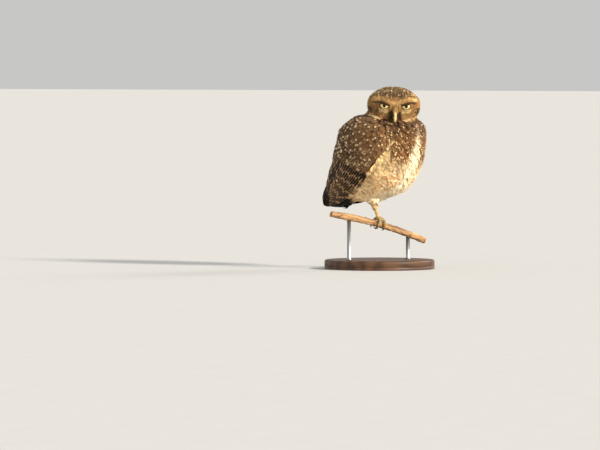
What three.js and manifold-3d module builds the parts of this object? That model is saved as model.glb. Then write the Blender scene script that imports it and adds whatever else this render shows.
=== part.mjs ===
// A burrowing owl at life size, resting on one leg on a cut length of branch above a plain display stand.
// Millimetres, +Z up. The body faces -Y and its left is +X. The origin is the middle of the stand's
// underside, straight below the standing foot. The head is turned to the bird's right.
import * as THREE from "three";
import { mergeVertices } from "three/addons/utils/BufferGeometryUtils.js";
import Module from "manifold-3d";

const wasm = await Module();
wasm.setup();

// Driving dimensions
const gap = 0.3; // clearance between neighbouring pieces
const footHeight = 62; // the branch's upper side under the foot, above the floor
const headTurn = THREE.MathUtils.degToRad(-47);
const headNod = THREE.MathUtils.degToRad(4);
const headRoll = THREE.MathUtils.degToRad(2);
const headCentre = new THREE.Vector3(-1, -24.5, footHeight + 151);
const skull = { side: 34.5, face: 27.5, nape: 33, crown: 24, chin: 25, square: 2.35 };
const eye = { radius: 8.3, aside: 18.4, up: 0.3, sunk: 5.9 };
const branch = { radius: 4.3, length: 140, yaw: -25, slope: 15, sag: 4.3, plain: 16, swell: 0.05, knot: 0.16 };
const base = { radius: 72, height: 12, bevel: 2.5 };
const rod = { radius: 2.5, spread: 44 };
const toe = { radius: 2.5, tip: 1.75, lift: 0.35, start: 0.18 };
const claw = { radius: 1.25, tip: 0.35, deeper: 0.2 };
const wingThickness = 5;
const edgeLift = 7; // how much higher the left wing's lower edge is held
const covertDepth = 1.3; // how far the coverts stand out over the flight feathers
const neckCuts = { chin: 126, ruff: 117, tilt: 0.28 }; // heights above the foot, and rise towards the back

// Sections of the trunk: height above the foot, how far forward its middle is, then half its width,
// and how far it reaches forward and back from that middle.
const trunkTop = 141;
const trunkBottom = 23.5;
const trunkRows = [
  [133, 13, 34, 41, 40],
  [125, 11, 41, 49, 49],
  [114, 7, 44.5, 55, 54],
  [97, 4, 45.5, 57, 56],
  [79, 0, 46, 57.5, 54],
  [65, -3, 44.5, 53, 52],
  [48, -7, 38.5, 45, 46],
  [36, -11, 31, 34, 38],
  [28, -16, 21, 20, 27],
];
// The same for the trunk with both folded wings on it, down to the wing tips.
const wingedTop = 141;
const wingedBottom = 14.5;
const wingedRows = [
  [132, 11, 40, 43, 45],
  [125, 9, 47.5, 51, 54],
  [114, 6, 52, 57, 58],
  [97, 3, 52, 58.5, 59],
  [79, -1, 51, 58.5, 60],
  [65, -5, 48, 55, 63],
  [48, -13, 41.5, 51, 64],
  [36, -22, 34, 45, 63],
  [28, -32, 28, 36, 56],
  [20, -50, 22, 19, 39],
];
// The folded wing's outline seen from the side: [forward, height above the foot].
const wingEdge = [
  [41, 126], [46, 112], [39, 92], [19, 64], [-3, 47], [-24, 31], [-48, 18.5], [-74, 13], [-104, 16],
  [-100, 90], [-72, 132], [-24, 146], [16, 140],
];
// The part of it under the coverts.
const covertEdge = [
  [39, 125], [44, 111], [37, 92], [17, 66], [-8, 58], [-34, 72], [-62, 88], [-100, 98], [-80, 132],
  [-22, 146], [16, 139],
];

// A smooth curve through [place, value] pairs, flat past both ends, as a function.
function through(pairs) {
  const xs = pairs.map((p) => p[0]);
  const ys = pairs.map((p) => p[1]);
  const slope = xs.map((x, i) => {
    const before = Math.max(i - 1, 0);
    const after = Math.min(i + 1, xs.length - 1);
    return (ys[after] - ys[before]) / (xs[after] - xs[before]);
  });
  return (x) => {
    if (x <= xs[0]) return ys[0];
    if (x >= xs[xs.length - 1]) return ys[ys.length - 1];
    let i = 0;
    while (x > xs[i + 1]) i++;
    const span = xs[i + 1] - xs[i];
    const t = (x - xs[i]) / span;
    const rise = ys[i + 1] - ys[i];
    const bend = t * (1 - t) * (1 - t) * slope[i] * span - t * t * (1 - t) * slope[i + 1] * span;
    return ys[i] + (3 - 2 * t) * t * t * rise + bend;
  };
}

// A ball whose points are moved by place(point), which starts on the unit sphere with its poles on Y.
function reshaped(sides, rings, place) {
  const ball = new THREE.SphereGeometry(1, sides, rings);
  const at = ball.attributes.position;
  const point = new THREE.Vector3();
  for (let i = 0; i < at.count; i++) {
    place(point.fromBufferAttribute(at, i));
    at.setXYZ(i, point.x, point.y, point.z);
  }
  return ball;
}

// A closed geometry as a solid that can be joined and cut.
function solid(geometry) {
  const bare = new THREE.BufferGeometry();
  bare.setAttribute("position", geometry.attributes.position.clone());
  if (geometry.index) bare.setIndex(geometry.index.clone());
  const merged = mergeVertices(bare, 1e-4);
  const made = new wasm.Manifold(
    new wasm.Mesh({
      numProp: 3,
      vertProperties: merged.attributes.position.array,
      triVerts: new Uint32Array(merged.index.array),
    }),
  );
  if (made.volume() > 0) return made;
  throw new Error("a shape is inside out");
}

// A body of level oval sections, from rows of [height, forward, side, front, back].
function levelBody(rows, top, bottom, sides, rings, grow = 0) {
  const rounding = (height) => {
    const t = (height - bottom) / (top - bottom);
    return Math.sqrt(2 * Math.sqrt(t * (1 - t)));
  };
  const column = (k, rounded) =>
    through(rows.map((r) => [r[0], rounded ? r[k] / rounding(r[0]) : r[k]]).reverse());
  const [middle, side, front, back] = [column(1, false), column(2, true), column(3, true), column(4, true)];
  const squareness = 2.35;
  return reshaped(sides, rings, (p) => {
    const height = bottom + ((top - bottom) * (p.y + 1)) / 2;
    const across = Math.hypot(p.x, p.z);
    const [c, s] = across > 1e-6 ? [p.x / across, p.z / across] : [1, 0];
    const square = (Math.abs(c) ** squareness + Math.abs(s) ** squareness) ** (-1 / squareness);
    const size = square * Math.sqrt(across);
    const reach = s > 0 ? front(height) : back(height);
    const skin = grow * Math.sqrt(across);
    p.set(
      c * (size * side(height) + skin),
      -middle(height) - s * (size * reach + skin),
      footHeight + height + grow * p.y,
    );
  });
}

// A round limb along a curve, with size(t) giving its half width and half thickness.
function limb(points, size, sides, rings, flatWay = new THREE.Vector3(1, 0, 0)) {
  const curve = new THREE.CatmullRomCurve3(points.map((p) => new THREE.Vector3(...p)));
  return reshaped(sides, rings, (p) => {
    const t = (1 - p.y) / 2;
    const across = Math.hypot(p.x, p.z);
    const centre = curve.getPoint(t);
    const along = curve.getTangent(t);
    const wide = flatWay.clone().addScaledVector(along, -flatWay.dot(along)).normalize();
    const thick = new THREE.Vector3().crossVectors(along, wide);
    const [halfWidth, halfThickness] = size(t);
    const blunt = across > 1e-6 ? across ** -0.35 : 0;
    wide.multiplyScalar(p.x * blunt * halfWidth);
    thick.multiplyScalar(p.z * blunt * halfThickness);
    p.copy(centre).add(wide).add(thick);
  });
}

function ellipsoid(centre, radii, sides, rings) {
  return reshaped(sides, rings, (p) => p.multiply(radii).add(centre));
}

// The space on one side of the bird inside a side-view outline of [forward, height] points.
function sideRegion(outline, from, to) {
  const shape = new THREE.Shape();
  const points = outline.map(([f, h]) => new THREE.Vector3(-f, footHeight + h, 0));
  const curve = new THREE.CatmullRomCurve3(points, true);
  shape.setFromPoints(curve.getPoints(20).slice(1).map((p) => new THREE.Vector2(p.x, p.y)));
  const slab = new THREE.ExtrudeGeometry(shape, { depth: to - from, bevelEnabled: false, steps: 1 });
  // Its drawing plane becomes the bird's Y and Z, and its depth the bird's X.
  slab.applyMatrix4(new THREE.Matrix4().makeBasis(
    new THREE.Vector3(0, 1, 0), new THREE.Vector3(0, 0, 1), new THREE.Vector3(1, 0, 0)));
  return solid(slab.translate(from, 0, 0));
}

// The head, in its own frame: the bill points to -Y, the bird's left is +X.
const facing = new THREE.Matrix4().makeRotationZ(headTurn)
  .multiply(new THREE.Matrix4().makeRotationX(headNod))
  .multiply(new THREE.Matrix4().makeRotationY(headRoll))
  .setPosition(headCentre);
const faceBumps = [
  { at: [17, -26, 10], height: 3.4, spread: 0.25 }, // brow
  { at: [7, -28, 7.5], height: 2.0, spread: 0.22 }, // inner brow, over the bill
  { at: [18, -26, -0.5], height: -2.6, spread: 0.26 }, // hollow round the eye
  { at: [20, -20, -15], height: 2.4, spread: 0.35 }, // cheek
  { at: [0, -28, -10], height: 2.0, spread: 0.22 }, // root of the bill
  { at: [29, -16, 2], height: 1.2, spread: 0.3 }, // outer rim of the facial disc
];

function headSurface(direction, grow = 0) {
  const d = direction.clone().normalize();
  const k = skull.square;
  const reach = d.y < 0 ? skull.face : skull.nape;
  const rise = d.z > 0 ? skull.crown : skull.chin;
  const sum = Math.abs(d.x / skull.side) ** k + Math.abs(d.y / reach) ** k + Math.abs(d.z / rise) ** k;
  let radius = sum ** (-1 / k) + grow;
  for (const bump of faceBumps) {
    const middle = new THREE.Vector3(...bump.at).normalize();
    const twin = middle.clone().setX(-middle.x);
    const angle = Math.min(d.angleTo(middle), d.angleTo(twin));
    radius += bump.height * Math.exp(-((angle / bump.spread) ** 2));
  }
  return d.multiplyScalar(radius);
}

function headShape(grow) {
  // The ball's poles are laid across the head, so that its rings run round the face.
  const shape = reshaped(22, 18, (p) => p.copy(headSurface(new THREE.Vector3(p.y, p.z, p.x), grow)));
  return solid(shape.applyMatrix4(facing));
}

function eyeCentre(side) {
  const front = headSurface(new THREE.Vector3(side * eye.aside, -26, eye.up));
  return front.addScaledVector(front.clone().normalize(), -eye.sunk);
}

function eyeShape(side, grow) {
  const radius = eye.radius + grow;
  const ball = ellipsoid(eyeCentre(side), new THREE.Vector3(radius, radius, radius), 12, 8);
  return solid(ball.applyMatrix4(facing));
}

function billShape(grow) {
  const line = [[0, -20, -3.5], [0, -29, -4.5], [0, -33.4, -11], [0, -33, -17.5], [0, -31.2, -23]];
  const width = through([[0, 4.8], [0.35, 4.5], [0.7, 2.8], [1, 0.9]]);
  const depth = through([[0, 5.0], [0.35, 4.4], [0.7, 3.0], [1, 0.8]]);
  return solid(limb(line, (t) => [width(t) + grow, depth(t) + grow], 10, 8).applyMatrix4(facing));
}

function lowerBillShape(grow) {
  const line = [[0, -22, -13], [0, -29.5, -14.5], [0, -31.6, -20.5]];
  const width = through([[0, 4.0], [0.5, 3.4], [1, 1.5]]);
  const depth = through([[0, 2.4], [0.5, 2.0], [1, 0.9]]);
  return solid(limb(line, (t) => [width(t) + grow, depth(t) + grow], 8, 6).applyMatrix4(facing));
}

// The branch. Its own frame has X along it, running down to the bird's left, and the foot at its middle.
const branchFrame = new THREE.Matrix4().makeRotationZ(THREE.MathUtils.degToRad(branch.yaw))
  .multiply(new THREE.Matrix4().makeRotationY(THREE.MathUtils.degToRad(branch.slope)));
branchFrame.setPosition(new THREE.Vector3(0, 0, footHeight)
  .addScaledVector(new THREE.Vector3(0, 0, -1).transformDirection(branchFrame), branch.radius));

// How far the branch arches down at a place along it, and how it swells there.
const branchSag = (x) => branch.sag * (2 * x / branch.length) ** 2;
const branchGirth = (x) => {
  if (Math.abs(x) < branch.plain) return 1;
  return 1 + branch.swell * Math.sin((x - branch.plain) / 11) + branch.knot * Math.exp(-(((x + 41) / 5) ** 2));
};

function branchShape(grow) {
  const half = branch.length / 2;
  const body = new THREE.CylinderGeometry(1, 1, 2, 12, 12);
  const at = body.attributes.position;
  for (let i = 0; i < at.count; i++) {
    const x = at.getY(i) * half;
    const size = branch.radius * branchGirth(x) + grow;
    at.setXYZ(i, at.getY(i) * (half + grow), -at.getX(i) * size, at.getZ(i) * size - branchSag(x));
  }
  return solid(body.applyMatrix4(branchFrame));
}

// A foot closed round a bar of the branch's size, in a frame that has X along the bar and the palm on +Z.
// Each toe has its place along the bar, which way it goes round (1 is forward), how much it leans
// along the bar as it goes, and its length. side is 1 for the right foot.
const toes = [
  { name: "hallux", along: 1.4, way: -1, lean: 0.02, length: 11.5 },
  { name: "inner", along: 4.4, way: 1, lean: 0.1, length: 15 },
  { name: "middle", along: -1.6, way: 1, lean: -0.1, length: 18 },
  { name: "outer", along: -4.6, way: -1, lean: -0.24, length: 14 },
];
const clawLength = (which) => 4.5 + 0.28 * which.length;

function toeSize(t) {
  const knuckles = 1 + 0.07 * Math.sin(t * Math.PI * 5);
  return (toe.radius + (toe.tip - toe.radius) * t) * knuckles;
}

// A point on the middle line of a toe and its claw, at a distance from the toe's root.
function toeLine(which, side, distance) {
  const round = branch.radius + toe.radius + toe.lift;
  const angle = toe.start + distance / round;
  const reach = round - (toe.radius - toe.tip) * Math.min(distance / which.length, 1);
  const aside = side * (which.along + which.lean * distance);
  return [aside, -which.way * Math.sin(angle) * reach, Math.cos(angle) * reach];
}

const stretch = (from, to, count) =>
  Array.from({ length: count + 1 }, (_, i) => from + ((to - from) * i) / count);

function toeShape(which, side, grow) {
  const points = stretch(-3, which.length, 6).map((d) => toeLine(which, side, d));
  return limb(points, (t) => [toeSize(t) + grow, toeSize(t) + grow], 6, 6);
}

function clawShape(which, side) {
  const points = stretch(-1.5, clawLength(which), 4).map((d) => toeLine(which, side, which.length + d));
  const size = (t) => claw.radius + (claw.tip - claw.radius) * t;
  return limb(points, (t) => [size(t), size(t) + claw.deeper * (1 - t)], 5, 5);
}

function palmShape() {
  return ellipsoid(new THREE.Vector3(0, 0, branch.radius + 2.9), new THREE.Vector3(6.4, 4.6, 3.0), 10, 6);
}

// The legs: the feathered thigh, then the bare shank down to the foot, as points of
// [bird's left, back, height above the standing foot].
const legs = {
  right: {
    side: 1,
    foot: branchFrame,
    thigh: [[-15, 2, 52], [-12, 5, 38], [-8, 3.5, 25], [-6.5, 2.5, 19]],
    shank: [[-8, 3.6, 26], [-5.2, 2.0, 15], [-1.5, 0.4, 4], [-1.0, 0.2, 0.5]],
    instep: 6,
  },
  // The left leg is drawn up: its shank lies along the flank and its foot is closed beside the belly.
  left: {
    side: -1,
    foot: new THREE.Matrix4().makeRotationX(THREE.MathUtils.degToRad(-100))
      .setPosition(29, 11, footHeight + 40.5),
    thigh: [[29, 0, 67], [33, 14, 54], [31, 30, 44], [28, 38, 38.5]],
    shank: [[27.4, 41, 37], [28, 31, 37.8], [28.8, 20, 39.2], [29, 16.5, 39.8]],
    instep: 6,
  },
};

const raised = (points) => points.map(([x, y, h]) => [x, y, h + footHeight]);

function thighShape(leg, grow) {
  const size = through([[0, 13], [0.4, 12], [0.75, 7.2], [1, 5.2]]);
  return solid(limb(raised(leg.thigh), (t) => [size(t) + grow, size(t) + grow], 10, 8));
}

function shankShape(leg, grow) {
  const size = through([[0, 3.7], [0.5, 3.2], [1, 3.4]]);
  return solid(limb(raised(leg.shank), (t) => [size(t) + grow, size(t) + grow], 10, 5));
}

// The part of a shank before its instep, or the part beyond it that belongs to the foot.
function shankPart(leg, foot) {
  const [heel, , , sole] = raised(leg.shank).map((p) => new THREE.Vector3(...p));
  const down = sole.clone().sub(heel).normalize();
  const instep = sole.clone().addScaledVector(down, -leg.instep);
  const way = foot ? 1 : -1;
  const facingWay = down.clone().multiplyScalar(way);
  return shankShape(leg, 0).trimByPlane(facingWay.toArray(), facingWay.dot(instep) + gap / 2);
}

const placed = (leg, geometry) => solid(geometry.applyMatrix4(leg.foot));

function footShape(leg) {
  return joined(toes.map((which) => placed(leg, toeShape(which, leg.side, 0))))
    .add(placed(leg, palmShape()))
    .add(shankPart(leg, true));
}

function tailShape(grow) {
  const line = [[0, 42, 74], [0, 56, 52], [0, 72, 31], [0, 86, 15.5]];
  const width = through([[0, 12], [0.5, 17], [0.9, 21], [1, 21]]);
  return solid(limb(raised(line), (t) => [width(t) + grow, 3.4 - 0.8 * t + grow], 14, 10));
}

// The soft underside between the belly and the tail.
function ventShape(grow) {
  const line = [[0, 14, 44], [0, 34, 38], [0, 52, 29], [0, 68, 21]];
  const width = through([[0, 26], [0.5, 22], [1, 13]]);
  const depth = through([[0, 14], [0.5, 11], [1, 3]]);
  return solid(limb(raised(line), (t) => [width(t) + grow, depth(t) + grow], 12, 7));
}

const colours = {
  brown: 0x7a583b, dark: 0x4a3424, buff: 0xe2c796, cream: 0xe6d8b4,
  eye: 0xe8d45a, bill: 0xd9c98d, claw: 0x2a241f, bark: 0xb07a55, wood: 0x5b4332, metal: 0x8b8d90,
};
const owl = new THREE.Group();

// Adds a solid to the model as a named mesh of its own material.
function add(name, made, colour, roughness = 0.9, metalness = 0) {
  const mesh = made.getMesh();
  const geometry = new THREE.BufferGeometry();
  geometry.setAttribute("position", new THREE.BufferAttribute(new Float32Array(mesh.vertProperties), 3));
  geometry.setIndex(new THREE.BufferAttribute(new Uint32Array(mesh.triVerts), 1));
  geometry.computeVertexNormals();
  const material = new THREE.MeshStandardMaterial({ color: colour, roughness, metalness });
  const piece = new THREE.Mesh(geometry, material);
  piece.name = name;
  owl.add(piece);
}

// The part of a solid above (or below) a level that rises towards the back, for the thin cuts at the neck.
function neckCut(made, height, above) {
  const way = above ? 1 : -1;
  const normal = new THREE.Vector3(0, -neckCuts.tilt, 1).normalize().multiplyScalar(way);
  const on = new THREE.Vector3(0, -44, footHeight + height + (way * gap) / 2);
  return made.trimByPlane(normal.toArray(), normal.dot(on));
}

// Cutting can leave loose slivers. The piece itself is the largest of what is left.
const largest = (made) => made.decompose().reduce((all, one) => (one.volume() > all.volume() ? one : all));
const joined = (solids) => solids.reduce((all, one) => all.add(one));

// Flesh
const trunkSolid = (grow) => solid(levelBody(trunkRows, trunkTop, trunkBottom, 22, 15, grow));
const wingedSolid = (grow, sides = 24, rings = 16) =>
  solid(levelBody(wingedRows, wingedTop, wingedBottom, sides, rings, grow));
const neckSolid = (grow) => {
  const size = through([[0, 31], [0.5, 34], [1, 35]]);
  const line = raised([[-1, -22, 158], [0, -20, 136], [0, -14, 112]]);
  return solid(limb(line, (t) => [size(t) + grow, size(t) + grow], 18, 8));
};

// The strip of back between the wings, wider at the shoulders.
function mantleRegion(grow) {
  const strip = new THREE.Shape([[2.5, 40], [2.5, 70], [17, 150], [-17, 150], [-2.5, 70], [-2.5, 40]]
    .map(([x, h]) => new THREE.Vector2(x + Math.sign(x) * grow, footHeight + h)));
  const slab = new THREE.ExtrudeGeometry(strip, { depth: 110, bevelEnabled: false, steps: 1 });
  return solid(slab.rotateX(Math.PI / 2).translate(0, 100, 0));
}

const legSolids = (grow) =>
  joined(Object.values(legs).flatMap((leg) => [thighShape(leg, grow), shankShape(leg, grow)]));

// The hollow in the feathers that holds the closed foot of the drawn-up leg.
const hollowRadii = new THREE.Vector3(12.5, 10.6, 11);
const footHollow = placed(legs.left, ellipsoid(new THREE.Vector3(0, 0, 0.5), hollowRadii, 10, 7));

const eyeSockets = eyeShape(1, gap).add(eyeShape(-1, gap));
const billRoot = billShape(gap).add(lowerBillShape(gap));
const flesh = joined([trunkSolid(0), neckSolid(0), headShape(0)])
  .add(wingedSolid(-0.4).intersect(mantleRegion(0)).add(ventShape(0)).subtract(tailShape(gap)))
  .subtract(eyeSockets)
  .subtract(billRoot)
  .subtract(legSolids(gap))
  .subtract(footHollow);
add("head", neckCut(flesh, neckCuts.chin, true), colours.brown);
add("neck", largest(neckCut(neckCut(flesh, neckCuts.chin, false), neckCuts.ruff, true)), colours.brown);
add("trunk", largest(neckCut(flesh, neckCuts.ruff, false)), colours.buff);
add("tail", tailShape(0).subtract(trunkSolid(gap)), colours.dark);

// Eyes and bill
add("eye_right", eyeShape(-1, 0), colours.eye, 0.15);
add("eye_left", eyeShape(1, 0), colours.eye, 0.15);
add("bill_upper", billShape(0).subtract(lowerBillShape(gap)), colours.bill, 0.5);
add("bill_lower", lowerBillShape(0), colours.bill, 0.5);

// Wings, folded: a shell of the winged outline, outside the trunk, under its side-view outline
function foldedWing(side, edge) {
  const wing = wingedSolid(0).intersect(sideRegion(edge, -80, 80))
    .add(wingedSolid(covertDepth).intersect(sideRegion(covertEdge, -80, 80)))
    .subtract(wingedSolid(-wingThickness, 12, 10))
    .subtract(joined([trunkSolid(gap), neckSolid(gap), headShape(gap), tailShape(gap), ventShape(gap)]))
    .subtract(footHollow)
    .subtract(mantleRegion(gap))
    .subtract(legSolids(gap))
    .trimByPlane([side, 0, 0], gap);
  return largest(wing);
}
add("wing_right", foldedWing(-1, wingEdge), colours.dark);
// The left wing's lower edge is held a little higher, over the drawn-up foot.
add("wing_left", foldedWing(1, wingEdge.map(([f, h]) => [f, h < 40 ? h + edgeLift : h])), colours.dark);

// Legs, feet and claws
for (const [name, leg] of Object.entries(legs)) {
  const thigh = thighShape(leg, 0).subtract(shankShape(leg, gap)).subtract(footHollow);
  add(`thigh_${name}`, largest(thigh), colours.buff);
  add(`shank_${name}`, shankPart(leg, false), colours.cream);
  const foot = footShape(leg);
  add(`foot_${name}`, name === "right" ? foot.subtract(branchShape(gap)) : foot, colours.cream, 0.7);
  for (const which of toes) {
    const tip = placed(leg, clawShape(which, leg.side)).subtract(placed(leg, toeShape(which, leg.side, gap)));
    add(`claw_${name}_${which.name}`, tip, colours.claw, 0.35);
  }
}

// Perch and display stand
add("perch", branchShape(0), colours.bark, 0.8);
const foot = new THREE.LatheGeometry([
  [0, 0], [base.radius - base.bevel, 0], [base.radius, base.bevel],
  [base.radius, base.height - base.bevel], [base.radius - base.bevel, base.height], [0, base.height],
].map(([r, h]) => new THREE.Vector2(r, h)), 30).rotateX(Math.PI / 2);
add("stand_base", solid(foot), colours.wood, 0.5);
for (const [name, place] of [["high", -rod.spread], ["low", rod.spread]]) {
  const top = new THREE.Vector3(place, 0, -branchSag(place)).applyMatrix4(branchFrame);
  const bottom = base.height + gap;
  const post = new THREE.CylinderGeometry(rod.radius, rod.radius, top.z - bottom, 12)
    .rotateX(Math.PI / 2)
    .translate(top.x, top.y, (top.z + bottom) / 2);
  add(`stand_rod_${name}`, solid(post).subtract(branchShape(gap)), colours.metal, 0.3, 1);
}

export default owl;
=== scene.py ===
# A burrowing owl on one leg, on a cut length of branch over a plain display stand.
# Metres, +Z up. The body faces -Y, its left is +X, and the head is turned to its right.
import math
import time
from functools import partial

import bmesh
import bpy
import numpy as np
from mathutils import Matrix, Vector
from mathutils.bvhtree import BVHTree


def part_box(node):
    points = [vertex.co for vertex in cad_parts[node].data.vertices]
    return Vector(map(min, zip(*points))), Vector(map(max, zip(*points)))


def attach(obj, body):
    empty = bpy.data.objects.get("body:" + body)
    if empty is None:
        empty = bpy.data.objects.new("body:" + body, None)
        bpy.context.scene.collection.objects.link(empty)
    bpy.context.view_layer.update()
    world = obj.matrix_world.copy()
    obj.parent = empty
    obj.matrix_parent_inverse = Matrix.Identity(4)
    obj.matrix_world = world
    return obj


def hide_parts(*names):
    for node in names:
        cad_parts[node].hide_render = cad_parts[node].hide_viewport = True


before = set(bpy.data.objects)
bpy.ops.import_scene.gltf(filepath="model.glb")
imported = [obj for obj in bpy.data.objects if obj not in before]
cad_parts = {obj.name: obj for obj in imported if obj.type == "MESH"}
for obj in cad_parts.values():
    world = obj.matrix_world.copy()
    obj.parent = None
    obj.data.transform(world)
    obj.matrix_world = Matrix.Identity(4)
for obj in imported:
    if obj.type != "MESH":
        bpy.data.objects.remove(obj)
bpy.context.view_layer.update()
started = time.time()


def say(stage):
    print(f"[{time.time() - started:5.1f} s] {stage}", flush=True)


say("frame loaded")
mm = 0.001
fullTurn = 2 * math.pi
footHeight = 62 * mm  # the branch's upper side under the standing foot
collection = bpy.context.scene.collection


# Shader building

# A socket that can be used in sums.
class Value:
    def __init__(self, shader, socket):
        self.shader = shader
        self.socket = socket

    def maths(self, operation, *others, flip=False):
        terms = [self, *others]
        if flip:
            terms.reverse()
        return self.shader.node("ShaderNodeMath", {"operation": operation}, dict(enumerate(terms)))

    def __add__(self, other):
        return self.maths("ADD", other)

    def __sub__(self, other):
        return self.maths("SUBTRACT", other)

    def __mul__(self, other):
        return self.maths("MULTIPLY", other)

    def __truediv__(self, other):
        return self.maths("DIVIDE", other)

    def __abs__(self):
        return self.maths("ABSOLUTE")

    def __rsub__(self, other):
        return self.maths("SUBTRACT", other, flip=True)

    def __rtruediv__(self, other):
        return self.maths("DIVIDE", other, flip=True)

    __radd__ = __add__
    __rmul__ = __mul__

    def sine(self):
        return self.maths("SINE")

    def most(self, other):
        return self.maths("MAXIMUM", other)

    def ramp(self, low, high):  # 0 below low, 1 above high, smooth between
        return self.shader.node(
            "ShaderNodeMapRange", {"interpolation_type": "SMOOTHSTEP"},
            {"Value": self, "From Min": low, "From Max": high})


# A material, with the nodes that its looks need.
class Shader:
    def __init__(self, name, roughness=0.6, specular=0.5, **constants):
        self.material = bpy.data.materials.new(name)
        self.material.use_nodes = True
        self.tree = self.material.node_tree
        self.surface = self.tree.nodes["Principled BSDF"]
        self.surface.inputs["Roughness"].default_value = roughness
        self.surface.inputs["Specular IOR Level"].default_value = specular
        for socket, value in constants.items():
            self.surface.inputs[socket].default_value = value

    def node(self, kind, settings=None, sockets=None, out=0):
        made = self.tree.nodes.new(kind)
        for key, value in (settings or {}).items():
            if key == "stops":
                self.stops(made.color_ramp, value)
            else:
                setattr(made, key, value)
        for key, value in (sockets or {}).items():
            self.feed(made.inputs[key], value)
        return Value(self, made.outputs[out])

    def stops(self, ramp, stops):
        while len(ramp.elements) < len(stops):
            ramp.elements.new(1.0)
        for element, (place, colour) in zip(ramp.elements, stops):
            element.position = place
            element.color = (*colour, 1.0)

    def feed(self, socket, value):
        if isinstance(value, Value):
            self.tree.links.new(value.socket, socket)
        elif socket.type == "RGBA" and len(value) == 3:
            socket.default_value = (*value, 1.0)
        else:
            socket.default_value = value

    def give(self, **sockets):
        for name, value in sockets.items():
            self.feed(self.surface.inputs[name.replace("_", " ")], value)

    def mix(self, factor, first, second, blend="MIX"):
        return self.node("ShaderNodeMix", {"data_type": "RGBA", "blend_type": blend},
                         {0: factor, 6: first, 7: second}, out=2)

    def attribute(self, name, out=0):
        return self.node("ShaderNodeAttribute", {"attribute_name": name}, out=out)

    def parts(self, vector):  # the three numbers of a vector or colour
        made = self.tree.nodes.new("ShaderNodeSeparateXYZ")
        self.feed(made.inputs[0], vector)
        return [Value(self, socket) for socket in made.outputs]

    def place(self):
        return self.node("ShaderNodeTexCoord", out=3)

    def noise(self, scale, detail=2.0, vector=None, roughness=0.5):
        return self.node("ShaderNodeTexNoise", {}, {
            "Vector": vector or self.place(), "Scale": scale, "Detail": detail,
            "Roughness": roughness})

    def bump(self, height, strength, distance):
        self.give(Normal=self.node("ShaderNodeBump", {}, {
            "Height": height, "Strength": strength, "Distance": distance}))


# Mesh helpers

# A mesh from an array of points and an array (or list) of faces.
def meshObject(name, points, faces, material=None, smooth=True):
    mesh = bpy.data.meshes.new(name)
    if isinstance(faces, np.ndarray):
        count, sides = faces.shape
        mesh.vertices.add(len(points))
        mesh.vertices.foreach_set("co", np.ascontiguousarray(points, np.float32).ravel())
        mesh.loops.add(count * sides)
        mesh.loops.foreach_set("vertex_index", np.ascontiguousarray(faces, np.int32).ravel())
        mesh.polygons.add(count)
        mesh.polygons.foreach_set("loop_start", np.arange(count, dtype=np.int32) * sides)
        mesh.update(calc_edges=True)
    else:
        mesh.from_pydata([tuple(p) for p in points], [], faces)
    mesh.validate()
    if smooth:
        mesh.shade_smooth()
    made = bpy.data.objects.new(name, mesh)
    collection.objects.link(made)
    if material:
        mesh.materials.append(material)
    return made


# Gives a piece its material, sets it on the still body, and hides the CAD nodes that it stands for.
def keep(piece, material, slot, *nodes):
    piece.data.materials.clear()
    piece.data.materials.append(material)
    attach(piece, "root")
    if nodes:
        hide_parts(*nodes)


def pointsOf(mesh):
    found = np.empty(len(mesh.vertices) * 3, np.float32)
    mesh.vertices.foreach_get("co", found)
    return found.reshape(-1, 3).astype(np.float64)


def normalsOf(mesh):
    found = np.empty(len(mesh.vertices) * 3, np.float32)
    mesh.vertex_normals.foreach_get("vector", found)
    return found.reshape(-1, 3).astype(np.float64)


def setPoints(mesh, points):
    mesh.vertices.foreach_set("co", np.ascontiguousarray(points, np.float32).ravel())
    mesh.update()


def storeColours(mesh, name, colours):
    rows = np.ones((len(colours), 4), np.float32)
    rows[:, :colours.shape[1]] = colours
    mesh.attributes.new(name, "FLOAT_COLOR", "POINT").data.foreach_set("color", rows.ravel())


def storeMap(mesh, name, places):
    corners = np.empty(len(mesh.loops), np.int32)
    mesh.loops.foreach_get("vertex_index", corners)
    layer = mesh.uv_layers.new(name=name)
    layer.data.foreach_set("uv", np.ascontiguousarray(places[corners], np.float32).ravel())


# Values at the vertices, or the vertices themselves, averaged with their neighbours.
def relaxed(mesh, values, rounds, weight=0.5):
    edges = np.empty(len(mesh.edges) * 2, np.int32)
    mesh.edges.foreach_get("vertices", edges)
    a, b = edges.reshape(-1, 2).T
    count = len(mesh.vertices)
    degree = np.maximum(np.bincount(a, minlength=count) + np.bincount(b, minlength=count), 1)
    flat = values.reshape(count, -1).copy()
    for _ in range(rounds):
        for k in range(flat.shape[1]):
            column = flat[:, k]
            total = (np.bincount(a, weights=column[b], minlength=count)
                     + np.bincount(b, weights=column[a], minlength=count))
            flat[:, k] = column + weight * (total / degree - column)
    return flat.reshape(values.shape)


# One mesh of several CAD nodes, each swollen a little so that the thin cuts between them close.
def joinedCopy(name, nodes, swell=0.0):
    points, faces, owner, start = [], [], [], 0
    for index, node in enumerate(nodes):
        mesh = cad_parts[node].data.copy()
        mesh.update()
        welded = weld(mesh)
        points.append(pointsOf(welded) + swell * normalsOf(welded))
        corners = np.array([list(p.vertices) for p in welded.polygons], np.int32)
        faces.append(corners + start)
        owner.append(np.full(len(corners), index))
        start += len(welded.vertices)
        bpy.data.meshes.remove(welded)
    made = meshObject(name, np.concatenate(points), np.concatenate(faces), smooth=False)
    return made, np.concatenate(owner)


# The same mesh with its doubled points merged.
def weld(mesh):
    work = bmesh.new()
    work.from_mesh(mesh)
    bmesh.ops.remove_doubles(work, verts=work.verts, dist=0.00001)
    bmesh.ops.triangulate(work, faces=work.faces)
    work.to_mesh(mesh)
    work.free()
    return mesh


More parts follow.
